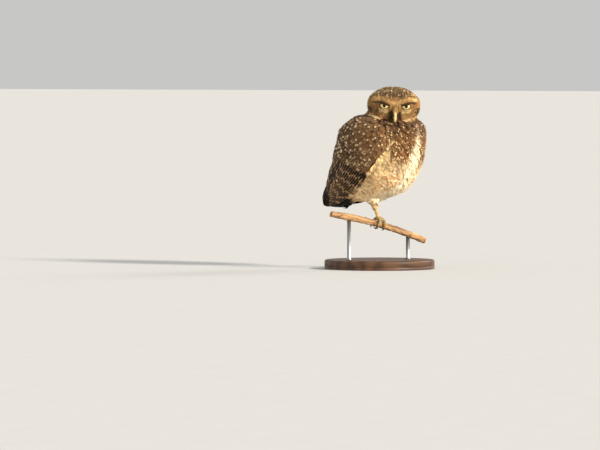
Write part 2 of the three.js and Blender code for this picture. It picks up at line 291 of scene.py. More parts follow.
# Rebuilds a piece's mesh as an even skin of small faces.
def remesh(piece, voxel):
    modifier = piece.modifiers.new("remesh", "REMESH")
    modifier.mode = "VOXEL"
    modifier.voxel_size = voxel
    graph = bpy.context.evaluated_depsgraph_get()
    mesh = bpy.data.meshes.new_from_object(piece.evaluated_get(graph))
    piece.modifiers.clear()
    old = piece.data
    piece.data = mesh
    bpy.data.meshes.remove(old)
    mesh.shade_smooth()


# 0 below low, 1 above high, and smooth between.
def blend(value, low, high):
    t = np.clip((value - low) / (high - low), 0, 1)
    return t * t * (3 - 2 * t)


# A colour as seen, 0 to 255, in the renderer's own numbers.
def linear(r, g, b):
    return tuple(((c / 255 + 0.055) / 1.055) ** 2.4 if c > 10 else c / 255 / 12.92 for c in (r, g, b))


def unit(vectors):
    return vectors / np.maximum(np.linalg.norm(vectors, axis=-1, keepdims=True), 1e-9)


# The head's own frame, in millimetres: the bill points to -Y, the bird's left is +X

headPose = {"turn": -47, "nod": 4, "roll": 2, "centre": (-1, -24.5, 213)}
skull = {"side": 34.5, "face": 27.5, "nape": 33, "crown": 24, "chin": 25, "squareness": 2.35}

headFrame = (Matrix.Translation(Vector(headPose["centre"]) * mm)
             @ Matrix.Rotation(math.radians(headPose["turn"]), 4, "Z")
             @ Matrix.Rotation(math.radians(headPose["nod"]), 4, "X")
             @ Matrix.Rotation(math.radians(headPose["roll"]), 4, "Y")
             @ Matrix.Scale(mm, 4))
headTurnOnly = np.array(headFrame.to_3x3()) / mm


def toHead(points):
    inverse = np.array(headFrame.inverted())
    return points @ inverse[:3, :3].T + inverse[:3, 3]


def fromHead(points):
    matrix = np.array(headFrame)
    return np.asarray(points) @ matrix[:3, :3].T + matrix[:3, 3]


def middle(node):
    low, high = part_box(node)
    return np.array((low + high) / 2)


eyeMiddles = {side: middle("eye_" + side) for side in ("right", "left")}
eyeRadius = float(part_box("eye_left")[1].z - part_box("eye_left")[0].z) / 2


# The hull: the bird's outline out to the feather tips, from the CAD's nodes of flesh

flesh = ["head", "neck", "trunk", "tail", "wing_right", "wing_left", "thigh_right", "thigh_left",
         "shank_right", "shank_left", "foot_right", "foot_left"]
skinValues = {
    "voxel": 0.75 * mm,
    "swell": 0.22 * mm,
    "evening": 10,  # rounds of smoothing of the hull
    "dome": 0.12,  # how much narrower the crown's top is than the CAD's
    "domeFrom": 5,  # where the narrowing starts, in the head's frame
    "blending": 14,  # rounds of smoothing of the coat's depth
}


# A function that tells which node of flesh each of some points is nearest to.
def regionTree(owner, piece):
    tree = BVHTree.FromPolygons([tuple(p) for p in pointsOf(piece.data)],
                                [tuple(p.vertices) for p in piece.data.polygons])

    def regions(points):
        return np.array([owner[tree.find_nearest(Vector(p))[2]] for p in points])
    return regions


skin, owner = joinedCopy("skin", flesh, skinValues["swell"])
nodeOf = regionTree(owner, skin)
remesh(skin, skinValues["voxel"])
hullPoints = relaxed(skin.data, pointsOf(skin.data), skinValues["evening"])
headPoints = toHead(hullPoints)
onTop = headPoints[:, 2] > skinValues["domeFrom"]
narrow = headPoints[onTop]
narrow[:, 0] *= 1 - skinValues["dome"] * blend(narrow[:, 2], skinValues["domeFrom"], skull["crown"])
hullPoints[onTop] = fromHead(narrow)
setPoints(skin.data, hullPoints)
hullNormals = normalsOf(skin.data)
say(f"hull of {len(hullPoints)} points")


# Where each point of the bird lies

def onNodes(regions, *names):
    return np.isin(regions, [flesh.index(n) for n in names])


# 1 on the head's surface, more outside it, from points in the head's frame.
def headNorm(head):
    reach = np.where(head[:, 1] < 0, skull["face"], skull["nape"])
    rise = np.where(head[:, 2] > 0, skull["crown"], skull["chin"])
    halves = np.stack([np.full(len(head), skull["side"]), reach, rise], axis=1)
    power = skull["squareness"]
    return (np.abs(head / halves) ** power).sum(axis=1) ** (1 / power)


# The lower edge of the coverts on the folded wing, as [forward, height over the foot]
covertLine = np.array([(-96, 112), (-48, 97), (-20, 90), (6, 79), (20, 72), (37, 92)]).T
rimLine = {"low": -20.6, "rise": 0.29}  # the pale lower rim of the face, across the head
limits = {  # where the parts of the plumage end, in millimetres
    "headEdge": 1.16,  # times the head's own size
    "headLow": -27, "faceBack": -9, "faceTop": 10.5, "backFront": 2, "backLow": 52,
}


# The places of some points of the bird, in millimetres and in the terms a birder would use.
class Where:
    def __init__(self, points, regions):
        self.points = points
        self.x = points[:, 0] / mm
        self.side = np.abs(self.x)
        self.forward = -points[:, 1] / mm
        self.height = (points[:, 2] - footHeight) / mm
        self.head = toHead(points)
        self.behind = self.head[:, 1]
        self.across = np.abs(self.head[:, 0])
        self.up = self.head[:, 2]
        self.rim = rimLine["low"] + rimLine["rise"] * self.across
        self.toEye = np.minimum(*[np.linalg.norm(points - eyeMiddles[s], axis=1) / mm
                                  for s in ("right", "left")])
        nearHead = (headNorm(self.head) < limits["headEdge"]) & (self.up > limits["headLow"])
        self.onHead = onNodes(regions, "head") & nearHead
        self.onWing = onNodes(regions, "wing_right", "wing_left")
        self.onTail = onNodes(regions, "tail")
        self.onThigh = onNodes(regions, "thigh_right", "thigh_left")
        self.onShank = onNodes(regions, "shank_right", "shank_left")
        self.onFoot = onNodes(regions, "foot_right", "foot_left")
        self.onLeg = self.onShank | self.onFoot
        self.onBody = ~(self.onHead | self.onWing | self.onTail | self.onThigh | self.onLeg)
        self.onFace = self.onHead & (self.behind < limits["faceBack"]) & (self.up < limits["faceTop"])
        self.overLine = self.height - np.interp(self.forward, *covertLine)
        self.onCoverts = self.onWing & (self.overLine > 0)
        self.onFlight = self.onWing & (self.overLine <= 0)
        self.onBack = self.onBody & (self.forward < limits["backFront"]) & (self.height > limits["backLow"])


coat = {  # how far the skin lies inside the feather tips, in millimetres
    "body": 4.2, "back": 3.6, "coverts": 3.2, "flight": 1.8, "tail": 1.5, "crown": 1.5, "face": 1.2,
    "eye": 0.3, "thigh": 2.6, "shank": 0.8, "foot": 0.1,
    "toes": 0.35,  # the most on a foot once the depths are blended
    "lidReach": (9.0, 13.5),  # from an eye's middle, where the coat thins
}


def coatDepth(where):
    depth = np.full(len(where.x), coat["body"])
    parts = [("back", where.onBack), ("coverts", where.onCoverts), ("flight", where.onFlight),
             ("tail", where.onTail), ("crown", where.onHead), ("face", where.onFace),
             ("thigh", where.onThigh), ("shank", where.onShank), ("foot", where.onFoot)]
    for part, mask in parts:
        depth[mask] = coat[part]
    nearEye = 1 - blend(where.toEye, *coat["lidReach"])
    return np.where(where.onHead, depth + (coat["eye"] - depth) * nearEye, depth) * mm


hullWhere = Where(hullPoints, nodeOf(hullPoints))
depths = relaxed(skin.data, coatDepth(hullWhere), skinValues["blending"])
depths = np.where(hullWhere.onFoot, np.minimum(depths, coat["toes"] * mm), depths)
say("regions and depth of the coat")

skinPoints = hullPoints - hullNormals * depths[:, None]
setPoints(skin.data, relaxed(skin.data, skinPoints, 3))
skinPoints = pointsOf(skin.data)
skinNormals = normalsOf(skin.data)
skinTree = BVHTree.FromObject(skin, bpy.context.evaluated_depsgraph_get())


# Markings, shared by the skin and the coat

paint = {name: np.array(linear(*seen)) for name, seen in {
    "crown": (92, 68, 45), "crownMark": (222, 190, 142), "nape": (84, 58, 35),
    "face": (158, 116, 68), "faceDark": (56, 35, 19), "cream": (240, 208, 150),
    "brow": (222, 180, 118), "collar": (78, 51, 30), "lidEdge": (46, 32, 24),
    "breast": (122, 82, 46), "breastMark": (240, 208, 154),
    "belly": (253, 228, 182), "bellyBar": (206, 142, 82), "white": (248, 230, 196),
    "mantle": (84, 58, 35), "mantleMark": (244, 214, 170), "shoulder": (124, 88, 54),
    "flight": (40, 24, 14), "flightMark": (200, 160, 112), "shaft": (84, 56, 34),
    "dark": (20, 12, 8), "leg": (250, 220, 156), "toe": (206, 180, 130),
}.items()}
mostBars = 20  # the bar count that a pattern holds as 1


# A smooth random number from -1 to 1 that changes over a length of scale metres.
def wave(points, scale, seed):
    rng = np.random.default_rng(seed)
    total = np.zeros(len(points))
    for _ in range(5):
        way = unit(rng.normal(size=3)) * rng.uniform(0.7, 1.5) * fullTurn / scale
        total += np.sin(points @ way + rng.uniform(0, 6.3))
    return np.clip(total / 2.6, -1, 1)


# 1 close to a place and 0 away from it, smooth between inner and outer.
def near(value, place, inner, outer):
    return 1 - blend(np.abs(value - place), inner, outer)


# Rises from 0 to 1 between a and b, and falls again between c and d.
def between(value, a, b, c, d):
    return blend(value, a, b) * (1 - blend(value, c, d))


# The colours of some points: a ground, a mark, and how far spots, bars and a pale fringe of the
# mark's colour show, with the number of bars.
class Look:
    def __init__(self, where):
        count = len(where.x)
        self.ground = np.tile(paint["breast"], (count, 1))
        self.mark = np.tile(paint["breastMark"], (count, 1))
        self.pattern = np.zeros((count, 4))
        self.mottle = wave(where.points, 9 * mm, 5)
        self.fine = wave(where.points, 4 * mm, 6)

    def tint(self, mask, name, marked=None, amount=1.0):
        weight = (mask * amount)[:, None]
        self.ground += weight * (paint[name] - self.ground)
        if marked:
            self.mark += weight * (paint[marked] - self.mark)

    def draw(self, mask, spots=0, bars=0, fringe=0, barCount=0):
        self.pattern[mask] = (spots, bars, fringe, barCount / mostBars)


# Heights over the foot and distances forward and to the side are in millimetres from here on.
def markBody(look, where):
    x, side, f, v = where.x, where.side, where.forward, where.height
    body = where.onBody | where.onThigh
    look.draw(body, spots=0.95, fringe=0.12)
    # from the spotted brown breast to the barred buff belly
    lower = 1 - blend(v + 4 * look.mottle + 0.12 * side, 70, 96)
    look.tint(body, "belly", "bellyBar", lower)
    look.draw(body & (lower > 0.45), bars=0.95, barCount=2.6)
    soft = body & (v < 44 + 5 * look.mottle)
    look.tint(soft, "belly", "belly", 0.75)
    look.draw(soft, bars=0.3, barCount=2)
    # the pale line down the middle of the breast, wider at the throat and on the belly
    width = np.interp(v, [20, 43, 66, 83, 102, 119, 130], [17, 11, 9.5, 8, 4.6, 3.2, 3.2])
    line = body & (f > 0) & (v < 128)
    look.tint(line, "white", "white", 1 - blend(side + 1.6 * look.fine, width * 0.55, width * 1.25))
    # pale flank feathers beside the wing's front edge, and a streak above them
    look.tint(body & (f > 0), "cream", "bellyBar", 0.7 * blend(side, 20, 30) * between(v, 40, 60, 80, 94))
    edge = f - np.interp(v, [64, 92, 112, 126], [19, 39, 46, 41])
    streak = between(edge, -2, 0.5, 1.5, 3.2) * between(v, 84, 92, 108, 116)
    look.tint(body, "cream", "cream", 0.8 * streak * blend(side, 20, 24))
    # the pale outer edge of the breast: pale feathers, with painted light where it reaches wider and higher
    # on the left, the sunlit side
    left = x > 0
    highest = np.where(left, 124, 108)
    outer = blend(side + 5 * left, 28, 33) * blend(f, 12, 20) * between(v, 66, 78, highest - 8, highest)
    look.tint(body, "cream", "cream", 0.8 * outer)
    # the dark collar under the face: partly brown feathers, partly painted shade in the crease under the chin
    look.tint(body & (where.behind < 0), "collar", "breastMark", 0.7 * between(where.up, -34, -28, -20, -14))
    # the cream vent, with painted shade towards the tail that darkens it to near black
    vent = body & (f < -8) & (v < 44)
    look.tint(vent, "cream", "cream", 0.7)
    look.tint(vent, "dark", "dark", blend(-f + 0.6 * side, 26, 46))
    look.draw(vent)


def markUpperSide(look, where):
    f, v = where.forward, where.height
    look.tint(where.onBack, "mantle", "mantleMark")
    look.draw(where.onBack, spots=0.95, fringe=0.12)
    ruff = where.onBody & (where.behind > 0) & (v > 112)
    look.tint(ruff, "nape", "mantleMark")
    look.draw(ruff, spots=0.85, fringe=0.1)
    coverts = where.onCoverts
    look.tint(coverts, "mantle", "mantleMark")
    look.draw(coverts, spots=1.0, fringe=0.1)
    # lighter brown towards the shoulder, and darker towards the back edge: partly the mantle's own dark
    # brown, partly painted shade
    look.tint(coverts, "shoulder", None, blend(f + 0.4 * (v - 90), -6, 34))
    look.tint(coverts, "flight", "shoulder", 0.85 * (1 - blend(f + 0.3 * (v - 90), -44, -16)))
    flight = where.onFlight | where.onTail
    look.tint(flight, "flight", "flightMark")
    look.draw(flight, bars=0.8, fringe=0.75, barCount=6)
    # painted shade: the lower parts of the flight feathers and the tail darkened towards near black
    look.tint(flight, "dark", None, 1 - blend(v + 0.25 * (f + 60), 16, 52))


def markHead(look, where):
    head, face = where.onHead, where.onFace
    side, up = where.across, where.up
    look.tint(head, "crown", "crownMark")
    top = head & (up > 4)
    speckle = wave(where.points, 3.4 * mm, 9)
    look.tint(top, "crownMark", None, 0.55 * blend(speckle, 0.3, 0.75))
    look.tint(top, "faceDark", None, 0.5 * blend(-speckle, 0.35, 0.8))
    look.draw(head, spots=0.9, fringe=0.2)
    look.tint(face, "face", "cream", blend(11 - up, 0, 3))
    look.draw(face, fringe=0.3)
    # mottled cheeks, the dark sides of the bill, painted shade darkening the face's edges at the sides of the
    # head, and the pale skin under the eye
    cheek = blend(look.mottle + 0.4 * look.fine, -0.1, 0.8) * blend(side, 10, 16) * (1 - blend(up, -3, 3))
    look.tint(face, "faceDark", None, 0.65 * cheek)
    look.tint(face, "faceDark", None, 0.9 * between(-up, 4, 8, 15, 18) * near(side, 5.6, 1.8, 4.2))
    look.tint(face, "faceDark", None, 0.85 * blend(side, 25, 29) * near(up, -1, 6, 11))
    underEye = near(up - 0.05 * side, -6.2, 1.6, 3.4) * between(side, 8, 11, 18, 22)
    look.tint(face, "cream", "cream", 0.85 * underEye)
    # brows: pale streaks from the bill up and out over each eye
    browLine = np.interp(side, [0, 4, 9, 17, 27, 31], [-0.5, 2.0, 5.8, 8.6, 7.6, 4])
    front = head & (where.behind < -4)
    look.tint(front & (up > -2), "face", "cream", 1 - blend(up - browLine, 2, 6))
    brow = near(up + 0.7 * look.fine, browLine + 0.6, 1.3, 2.8) * (0.85 + 0.3 * look.mottle)
    look.tint(front, "brow", "cream", brow * (1 - blend(side, 26, 30)))
    # painted shade under the brow: a dark line from the bill out over each eye
    browShadowLine = np.interp(side, [4, 9, 15, 22, 28], [-2.2, 1.6, 3.6, 4.4, 3.6])
    look.tint(front, "faceDark", None, 0.95 * near(up, browShadowLine, 0.7, 1.7) * between(side, 3.5, 6, 25, 29))
    lores = near(up, 2.2, 2.0, 5.0) * (1 - blend(side, 5, 8)) * (where.behind < -8)
    look.tint(head, "brow", "cream", 0.6 * lores)
    # the pale lower rim of the face
    lip = near(up + 0.8 * look.fine, where.rim, 0.8, 2.1) * (1 - blend(side, 29, 33))
    look.tint(head & (where.behind < 6), "cream", "cream", 0.8 * lip)
    # the dark collar under the face's rim: partly brown feathers, partly painted shade in the crease
    below = head & (up < where.rim - 2.4) & (where.behind < 12)
    look.tint(below, "collar", "breastMark", blend(where.rim - 2.2 - up, 0, 2))
    look.draw((face | below) & (up < browLine - 2), fringe=0.25)


def markLegs(look, where):
    look.tint(where.onThigh, "cream", "bellyBar")
    look.draw(where.onThigh, bars=0.2, barCount=2)
    look.tint(where.onShank, "leg", "leg")
    look.tint(where.onFoot, "toe", "leg")
    look.draw(where.onLeg)


# The ground, mark and pattern at each point.
def markings(where):
    look = Look(where)
    for marks in (markBody, markUpperSide, markHead, markLegs):
        marks(look, where)
    return look.ground * (1 + 0.10 * look.mottle[:, None]), look.mark, look.pattern


storeColours(skin.data, "ground", markings(hullWhere)[0])


def skinMaterial():
    shader = Shader("down", roughness=0.85, specular=0.2)
    grain = shader.noise(900, 3)
    shader.give(Base_Color=shader.mix(0.35 + 0.3 * grain, shader.attribute("ground"),
                                      linear(60, 44, 32), "MULTIPLY"))
    scales = shader.noise(1400, 1)
    shader.bump(scales, 0.5, 0.0004)
    return shader.material


keep(skin, skinMaterial(), "plumage", *flesh)
say("skin")


# Lie of the coat

# The way a feather points at each place, before it is laid along the skin.
def stream(where):
    count = len(where.x)
    f, v = where.forward, where.height
    way = np.zeros((count, 3))
    low = (1 - blend(v, 34, 62))[:, None]
    way[:] = (1 - low) * np.array([0, 0.12, -1.0]) + low * np.array([0, 1.0, -0.45])
    way[:, 0] += 0.16 * np.sign(where.x) * (f > 5)
    behind = where.onBack | (where.onBody & (f < 0) & (v > 50))
    way[behind] = (0, 0.55, -0.85)
    slant = (1 - blend(v + 0.3 * f, 70, 118))[:, None]
    wing = (1 - slant) * np.array([0, 0.45, -0.9]) + slant * np.array([0, 0.82, -0.57])
    way[where.onWing] = wing[where.onWing]
    way[where.onTail] = (0, 0.6, -0.8)
    way[where.onLeg | where.onThigh] = (0.1, 0, -1)
    drawnUp = where.onLeg & (where.x > 14)
    way[drawnUp] = (0.05, -1, 0.1)
    # round the face and back over the head
    root = fromHead([(0, -30, -3)])[0]
    away = unit(where.points - root)
    eyes = np.stack([eyeMiddles[s] for s in ("right", "left")])
    gaps = where.points[:, None, :] - eyes[None]
    nearest = np.argmin(np.linalg.norm(gaps, axis=2), axis=1)
    fromEye = unit(gaps[np.arange(count), nearest])
    hold = (1 - blend(where.toEye, 9.5, 19))[:, None]
    headWay = unit((1 - hold) * away + 1.2 * hold * fromEye)
    way[where.onHead] = headWay[where.onHead]
    ruff = where.onBody & (where.up > -40) & (where.behind < 8)
    way[ruff] = unit(0.4 * away + np.array([0, 0, -1.0]))[ruff]
    return unit(way)


# Feathers

# sides and points say how much shorter the vane and its frayed end are at the sides, bend where
# a frayed point bends, and thin how wide it is there.
barbValues = {"sides": 0.14, "points": 0.26, "bend": 0.55, "thin": 0.72}


# A feather's points as (along, across, loose) and its triangles. Past split the vane frays into points.
def vaneShape(rows, columns, split):
    values = barbValues
    spots, faces = [], []

    def reach(x):
        return split * (1 - values["sides"] * x * x)

    for r in range(rows + 1):
        for c in range(columns + 1):
            x = 2 * c / columns - 1
            spots.append((reach(x) * r / rows, x, 0))
    for r in range(rows):
        for c in range(columns):
            a = r * (columns + 1) + c
            b = a + columns + 1
            faces += [(a, a + 1, b + 1), (a, b + 1, b)]
    if split < 1:
        for c in range(columns):
            x = (2 * c + 1) / columns - 1
            half = 1 / columns
            end = 1 - values["points"] * x * x
            bend = reach(x) + values["bend"] * (end - reach(x))
            first = len(spots)
            for dx in (-half, half):
                spots.append((reach(x + dx), x + dx, 0))
            for dx in (-values["thin"] * half, values["thin"] * half):
                spots.append((bend, x + dx, 0.6))
            spots.append((end, x, 1))
            faces += [(first, first + 1, first + 3), (first, first + 3, first + 2),
                      (first + 2, first + 3, first + 4)]
    return np.array(spots), np.array(faces)


# Half the width of a vane along it, from 0 to 1. tip is how much it narrows to its end.
def outline(along, tip):
    rise = 0.42 + 0.58 * blend(along, 0, 0.42)
    return rise * (1 - tip * blend(along, 0.72, 1.0))


# Places on the skin's triangles at least spacing apart, as triangle numbers and corner weights.
def scatter(rng, points, triangles, spacing):
    corners = points[triangles]
    edges = corners[:, 1:] - corners[:, :1]
    areas = 0.5 * np.linalg.norm(np.cross(edges[:, 0], edges[:, 1]), axis=1)
    tries = int(4.5 * areas.sum() / spacing ** 2) + 1
    chosen = rng.choice(len(triangles), size=tries, p=areas / areas.sum())
    r1, r2 = np.sqrt(rng.random(tries)), rng.random(tries)
    mix = np.stack([1 - r1, r1 * (1 - r2), r1 * r2], axis=1)
    places = np.einsum("nk,nkd->nd", mix, corners[chosen])
    cells = np.floor(places / spacing).astype(int)
    kept, taken = {}, []
    around = [(i, j, k) for i in (-1, 0, 1) for j in (-1, 0, 1) for k in (-1, 0, 1)]
    limit = spacing ** 2
    for n, (cell, place) in enumerate(zip(map(tuple, cells), places.tolist())):
        others = (other for i, j, k in around
                  for other in kept.get((cell[0] + i, cell[1] + j, cell[2] + k), ()))
        if all(sum((a - b) ** 2 for a, b in zip(place, other)) >= limit for other in others):
            kept.setdefault(cell, []).append(place)
            taken.append(n)
    return chosen[taken], mix[taken]


# Lines of points that start at the roots and run along the skin, with the skin's normal at each.
def alongSkin(roots, ways, lengths, steps):
    count = len(roots)
    line = np.empty((count, steps + 1, 3))
    facing = np.empty((count, steps + 1, 3))
    find = skinTree.find_nearest
    for n in range(count):
        place, way, stride = Vector(roots[n]), Vector(ways[n]), lengths[n] / steps
        found, normal, _, _ = find(place)
        for s in range(steps + 1):
            line[n, s] = found
            facing[n, s] = normal
            way = (way - way.dot(normal) * normal).normalized()
            found, normal, _, _ = find(found + way * stride)
    # the normals are evened along each feather
    facing[:, 1:-1] = (facing[:, :-2] + 2 * facing[:, 1:-1] + facing[:, 2:]) / 4
    return line, unit(facing)


# The skin opened out flat round an axis, keeping its areas, as places from 0 to 1.
def equalAreaMap(points, centre, axis):
    axis = unit(np.array(axis, float))
    helper = np.array([0.0, 0.0, 1.0]) if abs(axis[2]) < 0.9 else np.array([1.0, 0.0, 0.0])
    right = unit(np.cross(helper, axis))
    top = np.cross(axis, right)
    way = unit(points - np.array(centre))
    flat = np.sqrt(np.maximum(2 / np.maximum(1 + way @ axis, 1e-4), 0))[:, None]
    place = flat * np.stack([way @ right, way @ top], axis=1)
    return 0.5 + 0.24 * place


patchSize = 0.003  # how much of the map one feather takes


# One mesh of many feathers. look is the ground, mark and pattern of each, lift how high the tips
# stand, sink how deep the roots go, tip how much a vane narrows, cup how far its sides bend down,
# fray how ragged its end is and tilt how far one side lies over the other.
def vanes(name, shape, line, facing, width, lift, rng, look, mapping,
          sink=0.25 * mm, tip=0.5, cup=0.0, fray=0.0, tilt=0.0):
    spots, faces = shape
    count, steps = line.shape[0], line.shape[1] - 1
    along = np.tile(spots[:, 0], (count, 1))
    loose = spots[:, 2]
    along = along + fray * loose * rng.uniform(-1, 0.35, (count, len(spots)))
    across = np.tile(spots[:, 1], (count, 1))
    across = across + 0.25 * fray * loose * rng.normal(size=across.shape)
    at = np.clip(along, 0, 1) * steps
    low = np.minimum(at.astype(int), steps - 1)
    part = (at - low)[:, :, None]
    rows = np.arange(count)[:, None]
    spine = line[rows, low] * (1 - part) + line[rows, low + 1] * part
    normal = unit(facing[rows, low] * (1 - part) + facing[rows, low + 1] * part)
    tangent = unit(line[rows, low + 1] - line[rows, low])
    sideways = unit(np.cross(tangent, normal))
    reach = across * outline(along, tip) * width[:, None]
    rise = -sink + (lift[:, None] + sink) * np.clip(along, 0, 1) ** 0.75 - cup * reach ** 2
    rise += tilt * across * np.clip(along * 3, 0, 1)
    rise += fray * 0.7 * mm * loose * rng.normal(size=across.shape)
    points = spine + sideways * reach[:, :, None] + normal * rise[:, :, None]
    triangles = (faces[None] + (np.arange(count) * len(spots))[:, None, None]).reshape(-1, 3)
    made = meshObject(name, points.reshape(-1, 3), triangles)
    for label, values in zip(("ground", "mark", "pattern"), look):
        storeColours(made.data, label, np.repeat(values, len(spots), axis=0))
    local = np.stack([0.5 + 0.5 * across, along], axis=2)
    patch = mapping(line[:, 0])[:, None, :] + patchSize * (local - 0.5)
    storeMap(made.data, "OFBake", patch.reshape(-1, 2))
    storeMap(made.data, "vane", local.reshape(-1, 2))
    return made


# What every feather carries: its colours, the four numbers of its pattern, and the place on the vane.
def vaneInputs(shader):
    return (shader.attribute("ground"), shader.attribute("mark"),
            *shader.parts(shader.attribute("pattern")), shader.attribute("pattern", out=3),
            *shader.parts(shader.node("ShaderNodeUVMap", {"uv_map": "vane"}))[:2])


# A colour made darker or lighter by a factor from 0 to 1.
def shaded(shader, colour, factor, dark, light):
    return shader.mix(1.0, colour, shader.mix(factor, dark, light), "MULTIPLY")


def featherMaterial():
    shader = Shader("feather", roughness=0.8, specular=0.14,
                    **{"Sheen Weight": 0.05, "Sheen Roughness": 0.6})
    ground, mark, spots, bars, fringe, choice, across, along = vaneInputs(shader)
    side = abs(across * 2 - 1)
    ragged = shader.noise(1500, 2) - 0.5
    # a round spot on each side of the shaft near the tip, set to one side by choice
    apart = choice.ramp(0.55, 0.6) * 0.44
    wide = 0.44 - apart * 0.3
    out = (abs(across * 2 - 1 + (choice - 0.4) * 0.7) - apart) / wide
    up = (along - 0.8) / 0.13
    spotMask = (1 - (out * out + up * up + ragged * 0.8).ramp(0.7, 1.25)) * spots
    # on a barred feather choice is the number of bars
    wavy = (along + side * 0.05 + ragged * 0.05) * choice * mostBars * fullTurn
    barMask = wavy.sine().ramp(0.0, 0.55) * bars
    end = (along + ragged * 0.08).ramp(0.93, 0.97)
    edge = (side + ragged * 0.25).ramp(0.70, 0.86).most(end) * fringe
    barbs = (along * 95 - side * 26 + ragged * 3).sine()
    shaft = 1 - side.ramp(0.0, 0.07)
    cloud = shader.noise(260, 2)
    colour = shader.mix(spotMask.most(barMask).most(edge), ground, mark)
    colour = shaded(shader, colour, 0.5 + 0.18 * barbs + 0.5 * (cloud - 0.5),
                    (0.72, 0.70, 0.68), (1.18, 1.17, 1.15))
    colour = shader.mix((1 - along.ramp(0.0, 0.5)) * 0.45, colour, (0.09, 0.07, 0.055))
    shader.give(Base_Color=colour)
    shader.bump(barbs * 0.5 + shaft * 1.5, 0.35, 0.00015)
    return shader.material


feather = featherMaterial()
quads = np.array([p.vertices for p in skin.data.polygons if len(p.vertices) == 4], np.int32)
skinTriangles = np.concatenate([quads[:, [0, 1, 2]], quads[:, [0, 2, 3]]])
skinRegions = nodeOf(hullPoints)
say("lie of the coat")

bodyShape = vaneShape(4, 6, 0.66)
smallShape = vaneShape(3, 4, 0.55)
tinyShape = vaneShape(2, 3, 0.35)
bodyMap = partial(equalAreaMap, centre=(0, 0.005, 0.14), axis=(0, -1, 0.1))
backMap = partial(equalAreaMap, centre=(0, 0.005, 0.14), axis=(0, 1, 0.1))
sideMap = {sign: partial(equalAreaMap, centre=(0, 0.01, 0.14), axis=(sign, 0.2, 0)) for sign in (-1, 1)}
headMap = partial(equalAreaMap, centre=headFrame.translation, axis=headTurnOnly @ np.array([0, -0.6, 0.8]))

# The patches of plumage. spacing, length and width (half a feather's) are in millimetres, fray is how
# ragged an end is and tip how much it narrows. spotted is the share of feathers with marks, and
# shades the range of their brightness. Over a root no skin may lie within clear millimetres, and
# no flight feather within under.
usual = {"shape": bodyShape, "tip": 0.35, "spotted": 1, "shades": (0.72, 1.22), "clear": 6, "under": 16}
coverts = {"spacing": 2.9, "length": 13, "width": 4.2, "fray": 0.09, "spotted": 0.42}
patches = {name: {**usual, **own} for name, own in {
    "face": {"spacing": 1.05, "length": 3.4, "width": 0.85, "fray": 0.16, "tip": 0.5,
             "shape": tinyShape, "shades": (0.6, 1.35)},
    "rim": {"spacing": 1.25, "length": 6.0, "width": 1.1, "fray": 0.3, "tip": 0.5,
            "shape": smallShape, "clear": 1.5},
    "crown": {"spacing": 1.7, "length": 6.0, "width": 1.8, "fray": 0.12,
              "shape": smallShape, "shades": (0.55, 1.55), "spotted": 0.6},
    "ruff": {"spacing": 2.0, "length": 8.5, "width": 2.6, "fray": 0.14, "spotted": 0.35, "clear": 2.0},
    "breast": {"spacing": 2.5, "length": 12, "width": 3.5, "fray": 0.14, "spotted": 0.5},
    "belly": {"spacing": 2.6, "length": 15, "width": 4.2, "fray": 0.2, "tip": 0.4},
    "back": {"spacing": 3.0, "length": 14, "width": 4.4, "fray": 0.1, "spotted": 0.4, "under": 4},
    "covertsRight": coverts,
    "covertsLeft": coverts,
    "thighs": {"spacing": 1.8, "length": 7, "width": 2.0, "fray": 0.2, "tip": 0.5, "shape": smallShape},
    "legs": {"spacing": 1.0, "length": 2.2, "width": 0.3, "fray": 0.2, "tip": 0.6, "shape": tinyShape},
}.items()}

where = hullWhere
edges = {  # where the patches end, in millimetres
    "ruffUp": -52, "ruffHeight": 96, "breastLow": 74, "overlap": 1.5, "rimBehind": 8, "rimOver": 2.0,
    "bellyBack": -46, "underWing": -16, "wingSide": 15, "underWingLow": 24,
}
overWing = where.onWing & (where.overLine > -edges["overlap"])
ruffOrBack = (where.up > edges["ruffUp"]) & (where.height > edges["ruffHeight"]) | where.onBack
onFront = where.onBody & ~ruffOrBack
hidden = ((where.forward < edges["underWing"]) & (where.side > edges["wingSide"])
          & (where.height > edges["underWingLow"]))
masks = {
    "face": where.onFace,
    "rim": where.onHead & (where.behind < edges["rimBehind"]) & (where.up < where.rim + edges["rimOver"]),
    "crown": where.onHead & ~where.onFace,
    "ruff": where.onBody & ruffOrBack & ~where.onBack,
    "breast": onFront & (where.height > edges["breastLow"]),
    "belly": (onFront & (where.height <= edges["breastLow"]) & (where.forward > edges["bellyBack"])
              & ~hidden),
    "back": where.onBack,
    "covertsRight": overWing & (where.x < 0),
    "covertsLeft": overWing & (where.x >= 0),
    "thighs": where.onThigh,
    "legs": where.onShank | (where.onFoot & (skinNormals[:, 2] > 0.1)),
}
maps = {"face": headMap, "rim": headMap, "crown": headMap, "back": backMap,
        "covertsRight": sideMap[-1], "covertsLeft": sideMap[1]}


# Long feathers of the wings and tail

# Where lines from outside, running along way, meet the skin.
def castOn(points, way):
    start = 60 * mm
    found, facing = [], []
    for p, w in zip(points, np.broadcast_to(way, points.shape)):
        place, normal, _, _ = skinTree.ray_cast(Vector(p - w * start), Vector(w), 2 * start)
        if place is None:
            place, normal, _, _ = skinTree.find_nearest(Vector(p))
        found.append(place)
        facing.append(normal)
    return np.array(found), np.array(facing)


# A smooth line through a root, a middle and a tip.
def bentLine(stations, steps):
    t = np.linspace(0, 1, steps + 1)[:, None]
    root, middlePoint, tip = stations
    control = 2 * middlePoint - (root + tip) / 2
    return (1 - t) ** 2 * root + 2 * t * (1 - t) * control + t ** 2 * tip


